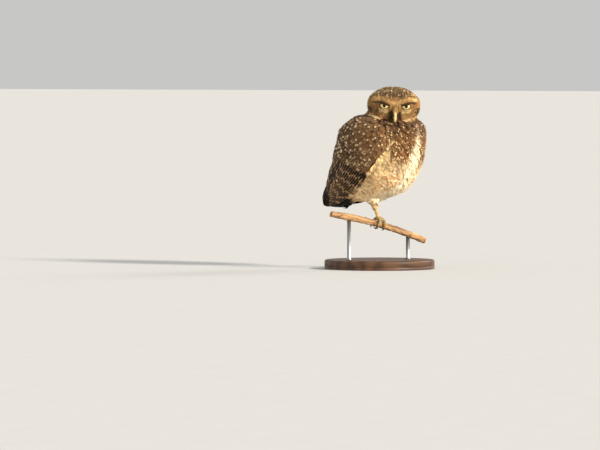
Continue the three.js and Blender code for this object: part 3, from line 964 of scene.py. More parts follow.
# Flight feathers of a folded wing, from the lowest primary to the topmost tertial, as
# [share, root, middle, tip], each place as forward and height over the foot
flightPlan = [
    (0.0, (32, 82), (-20, 41), (-84, 19)),
    (0.35, (15, 90), (-28, 56), (-80, 27)),
    (0.7, (-12, 106), (-42, 69), (-73, 36)),
    (1.0, (-44, 122), (-64, 92), (-85, 56)),
]
flightValues = {
    "count": 19, "steps": 18, "width": (5.4, 7.2), "lift": (0.5, 3.2), "bars": 8, "outside": 34,
    "sink": 1.0, "tip": 0.72, "cup": 2.0, "tilt": 0.75, "shape": vaneShape(26, 8, 1.0),
}


# The ground and mark colours of some long feathers.
def longColours(rng, count):
    ground = np.tile(paint["flight"], (count, 1)) * rng.uniform(0.9, 1.1, (count, 1))
    return ground, np.tile(paint["flightMark"], (count, 1))


def flightFeathers(side, sign):
    rng = np.random.default_rng(40 + sign)
    values = flightValues
    count = values["count"]
    shares = np.linspace(0, 1, count)
    keys = [row[0] for row in flightPlan]
    lines, facings = [], []
    for share in shares:
        stations = [np.array([np.interp(share, keys, [row[k][axis] for row in flightPlan])
                              for axis in (0, 1)]) for k in (1, 2, 3)]
        flat = bentLine(stations, values["steps"]) * mm
        outside = np.full(len(flat), sign * values["outside"] * mm)
        outer = np.stack([outside, -flat[:, 0], flat[:, 1] + footHeight], axis=1)
        line, facing = castOn(outer, np.array([-sign, 0.0, 0.0]))
        line[:, 0] = np.convolve(np.pad(line[:, 0], 2, "edge"), np.ones(5) / 5, "valid")
        lines.append(line)
        facings.append(unit(facing * np.array([1, 0.5, 0.5])))
    width = np.interp(shares, [0, 1], values["width"]) * mm
    lift = np.interp(shares, [0, 1], values["lift"]) * mm
    ground, mark = longColours(rng, count)
    ground = ground + (paint["dark"] - ground) * (1 - shares)[:, None] * 0.5
    pattern = np.zeros((count, 4))
    pattern[:, 1] = np.interp(shares, [0, 0.8, 1], [0.8, 0.8, 0.3])
    pattern[:, 2] = np.interp(shares, [0, 0.3, 0.8, 1], [0.35, 0.7, 0.9, 0.35])
    pattern[:, 3] = values["bars"] * rng.uniform(0.85, 1.15, count) / mostBars
    pattern[:, 0] = rng.random(count)  # where the bars start
    made = vanes("flight_" + side, values["shape"], np.array(lines), np.array(facings), width, lift, rng,
                 (ground, mark, pattern), sideMap[sign], sink=values["sink"] * mm, tip=values["tip"],
                 cup=values["cup"], tilt=sign * values["tilt"] * mm)
    keep(made, quill, "plumage")


tailValues = {
    "count": 12, "steps": 16, "width": 6.2, "root": (42, 74), "tip": (87, 15), "spread": (0.9, 3.1),
    "lift": 2.2, "narrow": 0.45, "cup": 6.0, "bars": 5, "shape": vaneShape(20, 8, 1.0),
}


def tailFeathers():
    rng = np.random.default_rng(60)
    values = tailValues
    count = values["count"]
    root, tip = values["root"], values["tip"]
    way = unit(np.array([0, tip[0] - root[0], tip[1] - root[1]], float))
    out = np.array([0, -way[2], way[1]])
    lines, facings, lifts = [], [], []
    t = np.linspace(0, 1, values["steps"] + 1)
    for place in np.arange(count) - (count - 1) / 2:
        x = place * np.interp(t, [0, 1], values["spread"])
        y = np.interp(t, [0, 1], [root[0], tip[0] - 0.3 * abs(place)])
        z = np.interp(t, [0, 1], [root[1], tip[1] + 0.35 * abs(place)])
        flat = np.stack([x, y, z], axis=1) * mm + np.array([0, 0, footHeight])
        line, _ = castOn(flat, -out)
        lines.append(line)
        facings.append(np.tile(out, (len(line), 1)))
        lifts.append((values["lift"] - 0.28 * abs(place)) * mm)
    ground, mark = longColours(rng, count)
    pattern = np.tile([0, 0.9, 0.4, values["bars"] / mostBars], (count, 1))
    made = vanes("tail_feathers", values["shape"], np.array(lines), np.array(facings),
                 np.full(count, values["width"] * mm), np.array(lifts), rng, (ground, mark, pattern),
                 backMap, sink=-0.2 * mm, tip=values["narrow"], cup=values["cup"])
    keep(made, quill, "plumage")


def quillMaterial():
    shader = Shader("quill", roughness=0.65, specular=0.18)
    ground, mark, start, bars, fringe, barCount, across, along = vaneInputs(shader)
    side = abs(across * 2 - 1)
    ragged = shader.noise(1200, 2) - 0.5
    banded = (((along + side * 0.03 + ragged * 0.02) * barCount * mostBars + start) * fullTurn).sine()
    barMask = banded.ramp(0.6, 0.92) * side.ramp(0.45, 0.8) * bars
    edge = (side + ragged * 0.15).ramp(0.84, 0.92) * fringe * (0.6 + 0.4 * banded.ramp(-0.6, 0.2))
    mask = barMask.most(edge) * along.ramp(0.16, 0.34)
    barbs = (along * 240 - side * 60 + ragged * 2).sine()
    shaft = 1 - side.ramp(0.02, 0.08)
    colour = shader.mix(mask, ground, mark)
    colour = shaded(shader, colour, 0.5 + 0.16 * barbs + 0.2 * ragged,
                    (0.75, 0.74, 0.73), (1.16, 1.15, 1.14))
    colour = shader.mix(shaft * 0.4, colour, paint["shaft"])
    shader.give(Base_Color=colour)
    shader.bump(barbs * 0.35 + shaft * 2, 0.4, 0.0002)
    return shader.material


quill = quillMaterial()
flightFeathers("right", -1)
flightFeathers("left", 1)
tailFeathers()
say("flight and tail feathers")

flightTrees = [BVHTree.FromObject(bpy.data.objects["flight_" + side], bpy.context.evaluated_depsgraph_get())
               for side in ("right", "left")]


# Short feathers

# True where nothing of the tree lies close over the skin, so that a feather there would be seen.
def openSkin(points, normals, reach, tree):
    start = 0.6 * mm
    return np.array([tree.ray_cast(Vector(p + n * start), Vector(n), reach)[0] is None
                     for p, n in zip(points, normals)])


# Where the feathers of a patch root: the corner points round each root, and its place.
def rootsOf(name, values, rng):
    chosen = skinTriangles[masks[name][skinTriangles].sum(axis=1) >= 2]
    number, mix = scatter(rng, skinPoints, chosen, values["spacing"] * mm)
    corners = chosen[number]
    roots = np.einsum("nk,nkd->nd", mix, skinPoints[corners])
    normals = unit(np.einsum("nk,nkd->nd", mix, skinNormals[corners]))
    keepers = openSkin(roots, normals, values["clear"] * mm, skinTree)
    if name.startswith("coverts"):  # none on the wing's inner side
        outward = 1 if name.endswith("Left") else -1
        keepers &= normals[:, 0] * outward > -0.2
    else:
        for tree in flightTrees:
            keepers &= openSkin(roots, normals, values["under"] * mm, tree)
    there = Where(roots, skinRegions[corners[:, 0]])
    keepers &= (there.toEye > eyeRadius / mm + 0.5) | ~there.onHead
    keepers &= there.onHead == (name in ("face", "crown", "rim"))
    return corners[keepers], roots[keepers]


# How big each feather is beside its patch's own size: small by the eyes, the bill and the front edge
# of the wing.
def sizesOf(name, there, rng):
    size = rng.uniform(0.85, 1.15, len(there.x))
    if name in ("face", "crown"):
        size *= 0.55 + 0.45 * blend(there.toEye, 9, 17)
    if name == "crown":
        toBill = np.linalg.norm(there.head - np.array([0, -28, 0]), axis=1)
        size *= 0.5 + 0.5 * blend(toBill, 20, 46)
    if name.startswith("coverts"):
        size *= 0.62 + 0.38 * blend(-there.forward, -44, -8)
        size *= 1 + 0.35 * (1 - blend(there.overLine, 4, 22))
    return size


def growPatch(index, name):
    values = patches[name]
    rng = np.random.default_rng(100 + index)
    corners, roots = rootsOf(name, values, rng)
    there = Where(roots, skinRegions[corners[:, 0]])
    count = len(roots)
    size = sizesOf(name, there, rng)
    ways = stream(there) + 0.13 * rng.normal(size=(count, 3))
    line, facing = alongSkin(roots, unit(ways), values["length"] * size * mm, 4)
    lift = depths[corners[:, 0]] * rng.uniform(0.72, 1.06, count)
    if name in ("ruff", "breast", "belly"):  # looser over the chest
        lift = lift + 3.8 * mm * blend(there.forward + 0.6 * there.x, 18, 48)
    if name == "legs":
        lift = np.full(count, 0.45 * mm)
    ground, mark, pattern = markings(there)
    brightness = rng.uniform(*values["shades"], (count, 1))
    marked = rng.random((count, 1)) < values["spotted"]
    faded = pattern * np.where(marked, rng.uniform(0.7, 1.05, (count, 1)), 0.12)
    # the place of the spots, or the number of bars
    faded[:, 3] = np.where(pattern[:, 0] > 0.5, rng.random(count),
                           pattern[:, 3] * rng.uniform(0.85, 1.15, count))
    look = (ground * brightness, mark * (0.5 + 0.5 * brightness), faded)
    made = vanes("plumage_" + name, values["shape"], line, facing, values["width"] * size * mm, lift, rng,
                 look, maps.get(name, bodyMap), tip=values["tip"], cup=14.0, fray=values["fray"])
    keep(made, feather, "plumage")
    say(f"{name}: {count} feathers, {len(made.data.polygons)} triangles")


for index, name in enumerate(patches):
    growPatch(index, name)


# Eyes and lids

eyeValues = {"pupil": 2.3, "outward": 0.10, "up": 0.02, "rings": 48, "spokes": 72}
lidValues = {
    "half": 6.0, "bottom": 2.9, "top": 1.15, "slant": 0.22,  # the opening, in millimetres
    "thick": 0.55, "reach": 8.1, "rings": 14, "spokes": 64,
    "brow": 0.5,  # how much the upper lid bulges
}


# The eye's outward, upward and forward directions. sign is 1 on the bird's left.
def eyeAxes(sign):
    front = unit(headTurnOnly @ np.array([sign * eyeValues["outward"], -1.0, eyeValues["up"]]))
    top = unit(headTurnOnly @ np.array([0.0, 0.0, 1.0]))
    outward = unit(np.cross(top, front)) * sign
    if (outward @ headTurnOnly[:, 0]) * sign < 0:
        outward = -outward
    top = unit(np.cross(front, outward)) * (1 if np.cross(front, outward) @ top > 0 else -1)
    return outward, top, front


def buildEye(side, sign):
    outward, top, front = eyeAxes(sign)
    rings, spokes = eyeValues["rings"], eyeValues["spokes"]
    points, faces = [front * eyeRadius], []
    for r in range(1, rings):
        polar = math.pi * r / rings
        for s in range(spokes):
            a = fullTurn * s / spokes
            across = outward * math.cos(a) + top * math.sin(a)
            points.append((front * math.cos(polar) + across * math.sin(polar)) * eyeRadius)
    points.append(-front * eyeRadius)
    for s in range(spokes):
        n = (s + 1) % spokes
        faces.append((0, 1 + s, 1 + n))
        for r in range(rings - 2):
            a, b = 1 + r * spokes, 1 + (r + 1) * spokes
            faces.append((a + s, b + s, b + n, a + n))
        last = 1 + (rings - 2) * spokes
        faces.append((last + s, len(points) - 1, last + n))
    points = np.array(points)
    made = meshObject("eyeball_" + side, points + eyeMiddles[side], faces)
    fixFacing(made)
    # how far each point is from the pupil's middle, in centimetres, and its place round it
    x, y, z = (points @ axis / mm for axis in (outward, top, front))
    around = 0.5 + np.arctan2(y, x) / fullTurn
    storeColours(made.data, "ring", np.stack([np.hypot(x, y) / 10 + (z < 0), around], axis=1))
    keep(made, eyeFinish, "eyes", "eye_" + side)


# Turns all faces outward.
def fixFacing(piece):
    work = bmesh.new()
    work.from_mesh(piece.data)
    bmesh.ops.recalc_face_normals(work, faces=work.faces)
    work.to_mesh(piece.data)
    work.free()


def eyeMaterial():
    shader = Shader("eye", roughness=0.06, specular=0.22, **{"Coat Weight": 0.2, "Coat Roughness": 0.02})
    ring, around, _ = shader.parts(shader.attribute("ring"))
    radius = ring * 10
    grain = shader.noise(900, 3)
    iris = shader.mix((radius + grain).ramp(2.2, 6.0), linear(252, 240, 176), linear(232, 196, 96))
    fibres = shader.noise(46, 3, shader.node("ShaderNodeCombineXYZ", {}, {0: ring * 0.12, 1: around}))
    iris = shader.mix(fibres.ramp(0.42, 0.7) * 0.55 + 0.15 * grain, iris, linear(176, 124, 44))
    # a dark ring round the iris: partly the eye's own dark ring, partly painted shade in the corners of the
    # opening
    colour = shader.mix(radius.ramp(4.7, 5.9), iris, (0.012, 0.009, 0.007))
    pupil = 1 - radius.ramp(eyeValues["pupil"] - 0.12, eyeValues["pupil"] + 0.12)
    shader.give(Base_Color=shader.mix(pupil, colour, (0.004, 0.004, 0.004)))
    return shader.material


# The lowest and highest open point of the eye at a distance x outward from its middle.
def opening(x):
    values = lidValues
    closed = max(1 - abs(x / values["half"]) ** 2.2, 0)
    high = (values["top"] + values["slant"] * x) * min(1, 1.9 * closed ** 0.7)
    return -values["bottom"] * closed ** 0.8, high


# How far the opening reaches, in millimetres. c is how much the direction points outward, d up.
def openReach(c, d):
    step = 0.05
    edge = 0.0
    while edge < 7:
        low, high = opening((edge + step) * c)
        if not low < (edge + step) * d < high or abs(edge * c) > lidValues["half"]:
            break
        edge += step
    return edge


def buildLids(side, sign):
    values = lidValues
    outward, top, front = eyeAxes(sign)
    points, faces, tint = [], [], []
    for s in range(values["spokes"]):
        a = fullTurn * s / values["spokes"]
        c, d = math.cos(a), math.sin(a)
        edge = openReach(c, d)
        for r in range(values["rings"] + 1):
            t = r / values["rings"]
            reach = edge + (values["reach"] - edge) * max(t - 0.12, 0) / 0.88
            swell = -0.05 + values["thick"] * math.sin(min(t / 0.3, 1) * math.pi / 2)
            swell += 0.12 * math.sin(reach * 5.0) * (t > 0.25) * (1 - t)  # fine folds
            if d > 0:
                swell += values["brow"] * math.exp(-((t - 0.5) / 0.25) ** 2)
            ball = eyeRadius / mm + swell
            depth = math.sqrt(max(ball ** 2 - reach ** 2, 0.2))
            points.append((outward * c + top * d) * reach + front * depth)
            tint.append(min(max((t - 0.14) / 0.2, 0), 1))
    rings = values["rings"] + 1
    for s in range(values["spokes"]):
        n = (s + 1) % values["spokes"]
        for r in range(values["rings"]):
            faces.append((s * rings + r, s * rings + r + 1, n * rings + r + 1, n * rings + r))
    points = np.array(points) * mm + eyeMiddles[side]
    made = meshObject("lids_" + side, points, faces)
    if np.mean(normalsOf(made.data) @ front) < 0:
        made.data.flip_normals()
    look = markings(Where(points, np.zeros(len(points), int)))[0] * 0.75
    rim = paint["lidEdge"]
    storeColours(made.data, "ground", rim + (look - rim) * np.array(tint)[:, None])
    made.data.materials.append(skin.data.materials[0])
    return made


lidCoat = {"count": 520, "length": 1.9, "width": 0.42, "lift": 0.35, "steps": 3, "bare": 0.45, "reach": 8.0}


# Tiny feathers over the lids, pointing away from the opening.
def coatLids(side, sign):
    values, lid = lidCoat, lidValues
    rng = np.random.default_rng(80 + sign)
    outward, top, front = eyeAxes(sign)
    bare = values["bare"]
    lines, facings = [], []
    while len(lines) < values["count"]:
        place = rng.uniform(-values["reach"], values["reach"], 2)
        reach = np.hypot(*place)
        low, high = opening(place[0])
        inside = abs(place[0]) < lid["half"] + 0.35 and low - bare < place[1] < high + bare
        if reach > values["reach"] or inside:
            continue
        way = place / reach
        length = values["length"] * rng.uniform(0.7, 1.2)
        line, facing = [], []
        for step in range(values["steps"] + 1):
            far = reach + length * step / values["steps"]
            swell = lid["thick"] + (lid["brow"] * math.exp(-((far - 6.2) / 1.6) ** 2) if place[1] > 0 else 0)
            ball = eyeRadius / mm + swell
            depth = math.sqrt(max(ball ** 2 - min(far, 7.6) ** 2, 0.2)) - 0.4 * max(far - 7.6, 0)
            flat = way * far
            line.append((outward * flat[0] + top * flat[1] + front * depth) * mm + eyeMiddles[side])
            facing.append(unit(outward * flat[0] + top * flat[1] + front * (depth + 4)))
        lines.append(line)
        facings.append(facing)
    count = len(lines)
    line, facing = np.array(lines), np.array(facings)
    ground, mark, pattern = markings(Where(line[:, 0], np.zeros(count, int)))
    ground = ground * rng.uniform(0.7, 1.25, (count, 1))
    made = vanes("plumage_lids_" + side, tinyShape, line, facing, np.full(count, values["width"] * mm),
                 np.full(count, values["lift"] * mm), rng, (ground, mark, pattern * 0), headMap,
                 sink=0.1 * mm, tip=0.6, fray=0.12)
    keep(made, feather, "plumage")


eyeFinish = eyeMaterial()
lids = []
for side, sign in (("right", -1), ("left", 1)):
    buildEye(side, sign)
    lids.append(buildLids(side, sign))
    coatLids(side, sign)
with bpy.context.temp_override(active_object=skin, selected_editable_objects=[skin, *lids]):
    bpy.ops.object.join()
say("eyes and lids")


# Bill and claws

billValues = {
    "voxel": 0.22 * mm, "evening": 10,
    "nostril": (3.4, -30.3, -7.5), "nostrilSize": (3, 1.1, 0.8), "nostrilDepth": 0.5 * mm,
    "cere": -8.8, "cereRise": 0.12 * mm,  # the edge of the soft skin over the root
}


# One smooth mesh of some CAD nodes, with their volume kept.
def smoothCopy(name, nodes, voxel, rounds):
    piece, _ = joinedCopy(name, nodes)
    remesh(piece, voxel)
    points = pointsOf(piece.data)
    for _ in range(rounds):
        points = relaxed(piece.data, relaxed(piece.data, points, 1, 0.5), 1, -0.52)
    setPoints(piece.data, points)
    return piece


def billMaterial():
    shader = Shader("billHorn", roughness=0.32, specular=0.45, **{"Coat Weight": 0.25, "Coat Roughness": 0.2})
    ridge, low, _ = shader.parts(shader.attribute("place"))
    grain = shader.noise(800, 3)
    # pale along the ridge and darker on the sides: partly browner horn, partly painted shade on the sides
    colour = shader.mix((ridge + 0.2 * grain).ramp(0.28, 0.62), linear(244, 214, 146), linear(112, 82, 46))
    colour = shader.mix(low * 0.4, colour, linear(120, 100, 70))
    colour = shader.mix(0.25 * grain, colour, linear(150, 116, 70))
    shader.give(Base_Color=colour)
    shader.bump(grain, 0.25, 0.0002)
    return shader.material


def buildBill(part, material):
    values = billValues
    piece = smoothCopy("horn_" + part, ["bill_" + part], values["voxel"], values["evening"])
    points, normals = pointsOf(piece.data), normalsOf(piece.data)
    head = toHead(points)
    push = np.zeros(len(points))
    if part == "upper":
        for sign in (-1, 1):
            hole = np.array(values["nostril"]) * np.array([sign, 1, 1])
            gap = np.linalg.norm((head - hole) / np.array(values["nostrilSize"]), axis=1)
            push -= values["nostrilDepth"] * np.exp(-gap ** 2)
        push += values["cereRise"] * np.exp(-((head[:, 2] - values["cere"]) / 0.7) ** 2)
    setPoints(piece.data, points + normals * push[:, None])
    # how far from the ridge, out to the sides that are painted darker, partly as shade
    ridge = np.clip(np.abs(head[:, 0]) / 4.5, 0, 1)
    low = np.clip((-head[:, 2] - 14) / 9, 0, 1)
    storeColours(piece.data, "place", np.stack([ridge, low, np.zeros(len(low))], axis=1))
    keep(piece, material, "bill", "bill_" + part)


horn = billMaterial()
buildBill("upper", horn)
buildBill("lower", horn)


def clawMaterial():
    shader = Shader("claw", roughness=0.3, specular=0.5)
    grain = shader.noise(1200, 3)
    streaks = shader.noise(500, 4)
    colour = shader.mix(streaks.ramp(0.4, 0.7), linear(34, 29, 26), linear(78, 66, 56))
    shader.give(Base_Color=colour, Roughness=0.25 + 0.25 * grain)
    shader.bump(grain, 0.2, 0.0001)
    return shader.material


clawValues = {
    "radius": 1.25, "sharp": 0.09, "longer": 1.18, "narrow": 0.86, "deep": 1.08,
    "steps": 22, "sides": 16,
}


# The root, middle and tip of a CAD claw, in millimetres, found from where its toe is.
def clawStations(node, foot):
    points = pointsOf(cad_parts[node].data) / mm
    toe = pointsOf(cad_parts[foot].data) / mm
    gaps = np.array([np.min(np.linalg.norm(toe - p, axis=1)) for p in points])
    base = points[gaps < gaps.min() + 1.0].mean(axis=0)
    reach = np.linalg.norm(points - base, axis=1)
    tip = points[reach > reach.max() - 0.5].mean(axis=0)
    half = points[np.abs(reach / reach.max() - 0.52) < 0.22].mean(axis=0)
    return base, half, half + (tip - half) * clawValues["longer"]


# A curved claw along the CAD claw's own middle line, with a sharper tip.
def buildClaw(node, name, foot, material):
    values = clawValues
    base, half, tip = clawStations(node, foot)
    line = bentLine([base, half, tip], values["steps"])
    t = np.linspace(0, 1, len(line))
    radius = values["sharp"] + (values["radius"] - values["sharp"]) * (1 - t ** 1.25)
    bend = np.cross(tip - base, half - base)
    flat = unit(bend if np.linalg.norm(bend) > 1e-3 else np.cross(tip - base, np.array([0, 0, 1.0])))
    sides = values["sides"]
    turns = (fullTurn * np.arange(sides) / sides)[:, None]
    rings = []
    for place, way, reach in zip(line, unit(np.gradient(line, axis=0)), radius):
        up = unit(np.cross(way, flat))
        rings.append(place + reach * (np.cos(turns) * flat * values["narrow"]
                                      + np.sin(turns) * up * values["deep"]))
    faces = []
    for n in range(len(line) - 1):
        for k in range(sides):
            m = (k + 1) % sides
            faces.append((n * sides + k, n * sides + m, (n + 1) * sides + m, (n + 1) * sides + k))
    faces.append(tuple(range(sides)))
    faces.append(tuple(reversed(range((len(line) - 1) * sides, len(line) * sides))))
    made = meshObject(name, np.concatenate(rings) * mm, faces)
    fixFacing(made)
    keep(made, material, "claws", node)


claws = clawMaterial()
for side in ("right", "left"):
    for toe in ("hallux", "inner", "middle", "outer"):
        buildClaw(f"claw_{side}_{toe}", f"talon_{side}_{toe}", "foot_" + side, claws)
say("bill and claws")


# Bristles that hang over the root of the bill and its sides

bristleValues = {"count": 420, "length": 5.5, "width": 0.36, "lift": 0.25, "steps": 5, "side": 6.5,
                 "top": 4.5, "bottom": -13.5, "shortest": 1.5}


# The outermost place that a line from the front meets, at a place on the face in millimetres.
def frontCast(trees, across, up):
    start = Vector(fromHead([(across, -50, up)])[0])
    way = Vector(headTurnOnly @ np.array([0, 1.0, 0])).normalized()
    hits = [tree.ray_cast(start, way, 60 * mm) for tree in trees]
    hits = [hit for hit in hits if hit[0] is not None]
    return min(hits, key=lambda hit: hit[3])[:2] if hits else (None, None)


def buildBristles():
    rng = np.random.default_rng(77)
    values = bristleValues
    graph = bpy.context.evaluated_depsgraph_get()
    trees = [skinTree, BVHTree.FromObject(bpy.data.objects["horn_upper"], graph)]
    forward = unit(headTurnOnly @ np.array([0, -1.0, 0]))
    lines, facings, darks = [], [], []
    for _ in range(values["count"]):
        sign = rng.choice([-1, 1])
        across = sign * rng.uniform(0, 1) ** 0.8 * values["side"]
        up = rng.uniform(values["bottom"], values["top"])
        end = np.interp(abs(across), [0, 1.3, 2.2, 3.6, 7], [-6.6, -8.5, -13.5, -18, -18])
        length = min(values["length"] * rng.uniform(0.7, 1.15), up - end)
        if length < values["shortest"]:
            continue
        line, facing = [], []
        lean = sign * rng.uniform(-0.05, 0.25)
        for step in range(values["steps"] + 1):
            t = step / values["steps"]
            place, normal = frontCast(trees, across + lean * length * t, up - length * t)
            if place is None:
                break
            line.append(np.array(place) + forward * (0.15 + 0.35 * t) * mm)
            facing.append(unit(np.array(normal) + 0.8 * forward))
        if len(line) <= values["steps"]:
            continue
        lines.append(line)
        facings.append(facing)
        beside = blend(abs(across), 1.8, 3.0) * blend(-up, 1.5, 3.5)
        darks.append(max(float(blend(-up, 4.5, 7.5)), float(beside)))
    count = len(lines)
    dark = np.array(darks)[:, None]
    buff = 0.35 * paint["brow"] + 0.65 * paint["face"]
    ground = (buff * (1 - dark) + paint["faceDark"] * dark) * rng.uniform(0.55, 1.25, (count, 1))
    made = vanes("plumage_bristles", tinyShape, np.array(lines), np.array(facings),
                 np.full(count, values["width"] * mm), np.full(count, values["lift"] * mm), rng,
                 (ground, ground, np.zeros((count, 4))), headMap, sink=0.0, tip=0.8, fray=0.1)
    keep(made, feather, "plumage")


buildBristles()
say("bristles")


# Branch, base and rods

branchValues = {
    "voxel": 0.55 * mm, "evening": 6, "ridge": 0.5 * mm,
    "heading": -25, "pitch": 15,  # how the branch lies, in degrees
    "grip": (6 * mm, 16 * mm),  # smooth within the first, from the foot's middle
    "end": 69.5 * mm,
}


def barkMaterial():
    shader = Shader("bark", roughness=0.85, specular=0.2)
    x, y, z = shader.parts(shader.attribute("place"))
    along = shader.node("ShaderNodeCombineXYZ", {}, {0: x * 0.18, 1: y, 2: z})
    ridges = shader.noise(34, 5, along, 0.65)
    worn = shader.noise(5, 3, shader.attribute("place"))
    cracks = shader.node("ShaderNodeTexVoronoi", {"feature": "DISTANCE_TO_EDGE"},
                         {"Vector": along, "Scale": 26.0})
    colour = shader.mix(ridges.ramp(0.3, 0.7), linear(122, 84, 56), linear(214, 168, 116))
    colour = shader.mix(worn.ramp(0.45, 0.7) * 0.6, colour, linear(166, 138, 108))
    colour = shader.mix((1 - cracks.ramp(0.0, 0.06)) * 0.7, colour, linear(64, 44, 30))
    shader.give(Base_Color=colour, Roughness=0.7 + 0.25 * ridges)
    shader.bump(ridges + cracks.ramp(0.0, 0.1) * 0.6, 0.8, 0.0006)
    return shader.material


def buildBranch():
    values = branchValues
    piece = smoothCopy("branch", ["perch"], values["voxel"], values["evening"])
    points, normals = pointsOf(piece.data), normalsOf(piece.data)
    lie = np.array(Matrix.Rotation(math.radians(values["heading"]), 3, "Z")
                   @ Matrix.Rotation(math.radians(values["pitch"]), 3, "Y"))
    local = (points - np.array([0, 0, footHeight])) @ lie
    stretched = local * np.array([0.22, 1, 1])
    bumps = wave(stretched, 2.6 * mm, 11) * 0.6 + wave(stretched, 1.3 * mm, 12) * 0.4
    bumps = bumps + 0.5 * wave(local, 9 * mm, 13)
    fromFoot = np.abs(local[:, 0])
    clear = blend(fromFoot, *values["grip"])
    ends = 1 - blend(fromFoot, values["end"] - 1.5 * mm, values["end"])
    push = values["ridge"] * (bumps - 0.35) * (0.35 + 0.65 * clear) * ends
    setPoints(piece.data, points + normals * push[:, None])
    storeColours(piece.data, "place", 0.5 + local * 5)
    keep(piece, barkMaterial(), "branch", "perch")


buildBranch()


# A turned solid from [radius, height] pairs, bottom to top.
def lathe(name, profile, centre, spokes):
    points, faces = [], []
    for radius, height in profile:
        for s in range(spokes):
            a = fullTurn * s / spokes
            points.append((centre[0] + radius * math.cos(a), centre[1] + radius * math.sin(a), height))
    rows = len(profile)
    for r in range(rows - 1):
        for s in range(spokes):
            n = (s + 1) % spokes
            faces.append((r * spokes + s, r * spokes + n, (r + 1) * spokes + n, (r + 1) * spokes + s))
    faces.append(tuple(reversed(range(spokes))))
    faces.append(tuple((rows - 1) * spokes + s for s in range(spokes)))
    return meshObject(name, np.array(points), faces)


baseValues = {"round": 2.6 * mm, "spokes": 160,
              "groove": (0.5 * mm, 3.0 * mm, 4.3 * mm)}  # depth, lower and upper edge
rodValues = {"collar": 1.6 * mm, "collarHeight": 1.8 * mm, "spokes": 48}


def baseMaterial():
    shader = Shader("oiledWood", roughness=0.42, specular=0.4)
    place = shader.place()
    x, y, z = shader.parts(place)
    stretched = shader.node("ShaderNodeCombineXYZ", {}, {0: x * 0.12, 1: y, 2: z * 2})
    warp = shader.noise(30, 3, stretched)
    rings = (y * 330 + warp * 16).sine()
    pores = shader.noise(1500, 2, stretched)
    colour = shader.mix(0.5 + 0.4 * rings, linear(66, 44, 30), linear(104, 72, 48))
    colour = shader.mix(pores.ramp(0.6, 0.75) * 0.6, colour, linear(36, 24, 17))
    shader.give(Base_Color=colour, Roughness=0.36 + 0.2 * pores)
    shader.bump(pores + 0.3 * rings, 0.15, 0.0002)
    return shader.material


def rodMaterial():
    shader = Shader("brushedSteel", roughness=0.3, specular=0.5, Metallic=1.0)
    x, y, z = shader.parts(shader.place())
    around = shader.node("ShaderNodeCombineXYZ", {}, {0: x * 0.4, 1: y * 0.4, 2: z * 14})
    lines = shader.noise(420, 3, around)
    shader.give(Base_Color=shader.mix(lines, linear(150, 152, 154), linear(196, 197, 198)),
                Roughness=0.24 + 0.2 * lines)
    shader.bump(lines, 0.12, 0.00008)
    return shader.material


def buildStand():
    low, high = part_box("stand_base")
    radius, top, edge = high.x, high.z, baseValues["round"]
    groove, grooveLow, grooveHigh = baseValues["groove"]
    slope = 0.4 * mm
    profile = [(radius - 0.8 * mm, 0.0), (radius - 0.25 * mm, 0.25 * mm), (radius, 0.8 * mm),
               (radius, grooveLow), (radius - groove, grooveLow + slope),
               (radius - groove, grooveHigh - slope), (radius, grooveHigh)]
    for a in np.linspace(0, math.pi / 2, 9):
        profile.append((radius - edge * (1 - math.cos(a)), top - edge * (1 - math.sin(a))))
    profile += [(radius * 0.6, top), (radius * 0.2, top)]
    base = lathe("base", profile, (0, 0), baseValues["spokes"])
    keep(base, baseMaterial(), "base", "stand_base")
    steel = rodMaterial()
    wide, tall = rodValues["collar"], rodValues["collarHeight"]
    for node in ("stand_rod_high", "stand_rod_low"):
        low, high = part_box(node)
        centre, thick = (low + high) / 2, (high.x - low.x) / 2
        profile = [(thick, low.z), (thick + wide, top), (thick + wide, top + 1.0 * mm),
                   (thick + 1.1 * mm, top + 1.6 * mm), (thick + 0.1 * mm, top + tall),
                   (thick, top + tall + 0.2 * mm), (thick, high.z)]
        rod = lathe(node.replace("stand_", ""), profile, centre, rodValues["spokes"])
        keep(rod, steel, "rods", node)


buildStand()
say("branch and stand")


# Floor, light and camera

studio = {
    "frameWidth": 0.78, "lens": 300, "sensor": 36, "shiftRight": -0.1034, "shiftUp": -0.0052,
    "azimuth": -50, "elevation": 1.8,
    "world": (0.95, 0.95, 0.94), "worldStrength": 0.6, "floor": 40,
}
# right, back and up say where a lamp shines from, as the camera sees it
lamps = {
    "key": {"way": (0.95, 0.68, 0.5), "strength": 4.7, "colour": (1.0, 0.91, 0.77), "angle": 8},
    "fill": {"way": (0.0, 1.0, 0.1), "strength": 0.4, "colour": (1.0, 0.97, 0.93), "angle": 60},
    "rim": {"way": (1.0, -0.7, 0.6), "strength": 1.0, "colour": (1.0, 0.95, 0.86), "angle": 20},
}


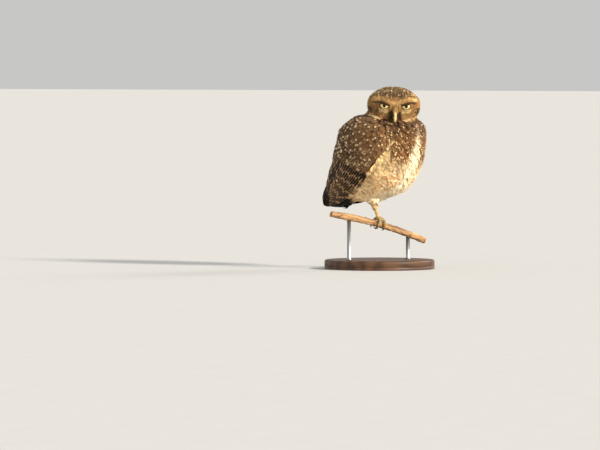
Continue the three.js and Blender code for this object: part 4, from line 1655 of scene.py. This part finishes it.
def floorMaterial():
    shader = Shader("floorPaper", roughness=0.9, specular=0.1)
    grain = shader.noise(30, 4)
    shader.give(Base_Color=shader.mix(grain, (0.60, 0.60, 0.60), (0.64, 0.64, 0.64)))
    return shader.material


def buildStage():
    far = studio["floor"]
    corners = [(-far, -far, 0), (far, -far, 0), (far, far, 0), (-far, far, 0)]
    floor = meshObject("floor", np.array(corners, float), [(0, 1, 2, 3)], floorMaterial(), smooth=False)
    bpy.context.scene.view_settings.view_transform = "Standard"
    world = bpy.data.worlds.new("studio")
    bpy.context.scene.world = world
    world.use_nodes = True
    background = world.node_tree.nodes["Background"]
    background.inputs["Color"].default_value = (*studio["world"], 1)
    background.inputs["Strength"].default_value = studio["worldStrength"]


# The directions from the bird to the camera's right, to the camera and up, as the camera sees them.
def cameraAxes(elevation):
    a, e = math.radians(studio["azimuth"] - 90), math.radians(elevation)
    back = Vector((math.cos(a) * math.cos(e), math.sin(a) * math.cos(e), math.sin(e)))
    right = Vector((0, 0, 1)).cross(back).normalized()
    return right, back, back.cross(right)


def sunLamp(name, way, strength, colour, angle):
    right, back, up = cameraAxes(0)
    lamp = bpy.data.lights.new(name, "SUN")
    lamp.energy = strength
    lamp.color = colour
    lamp.angle = math.radians(angle)
    made = bpy.data.objects.new(name, lamp)
    place = right * way[0] + back * way[1] + up * way[2]
    made.rotation_euler = place.to_track_quat("Z", "Y").to_euler()
    collection.objects.link(made)


def buildCamera():
    values = studio
    right, back, up = cameraAxes(values["elevation"])
    target = Vector((0, 0, footHeight)) + right * values["shiftRight"] + up * values["shiftUp"]
    data = bpy.data.cameras.new("camera")
    data.lens = values["lens"]
    data.sensor_width = values["sensor"]
    data.clip_end = 200
    camera = bpy.data.objects.new("camera", data)
    camera.location = target + back * values["frameWidth"] * values["lens"] / values["sensor"]
    camera.rotation_euler = back.to_track_quat("Z", "Y").to_euler()
    collection.objects.link(camera)
    bpy.context.scene.camera = camera


buildStage()
for name, values in lamps.items():
    sunLamp(name, **values)
buildCamera()

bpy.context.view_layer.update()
say("done")
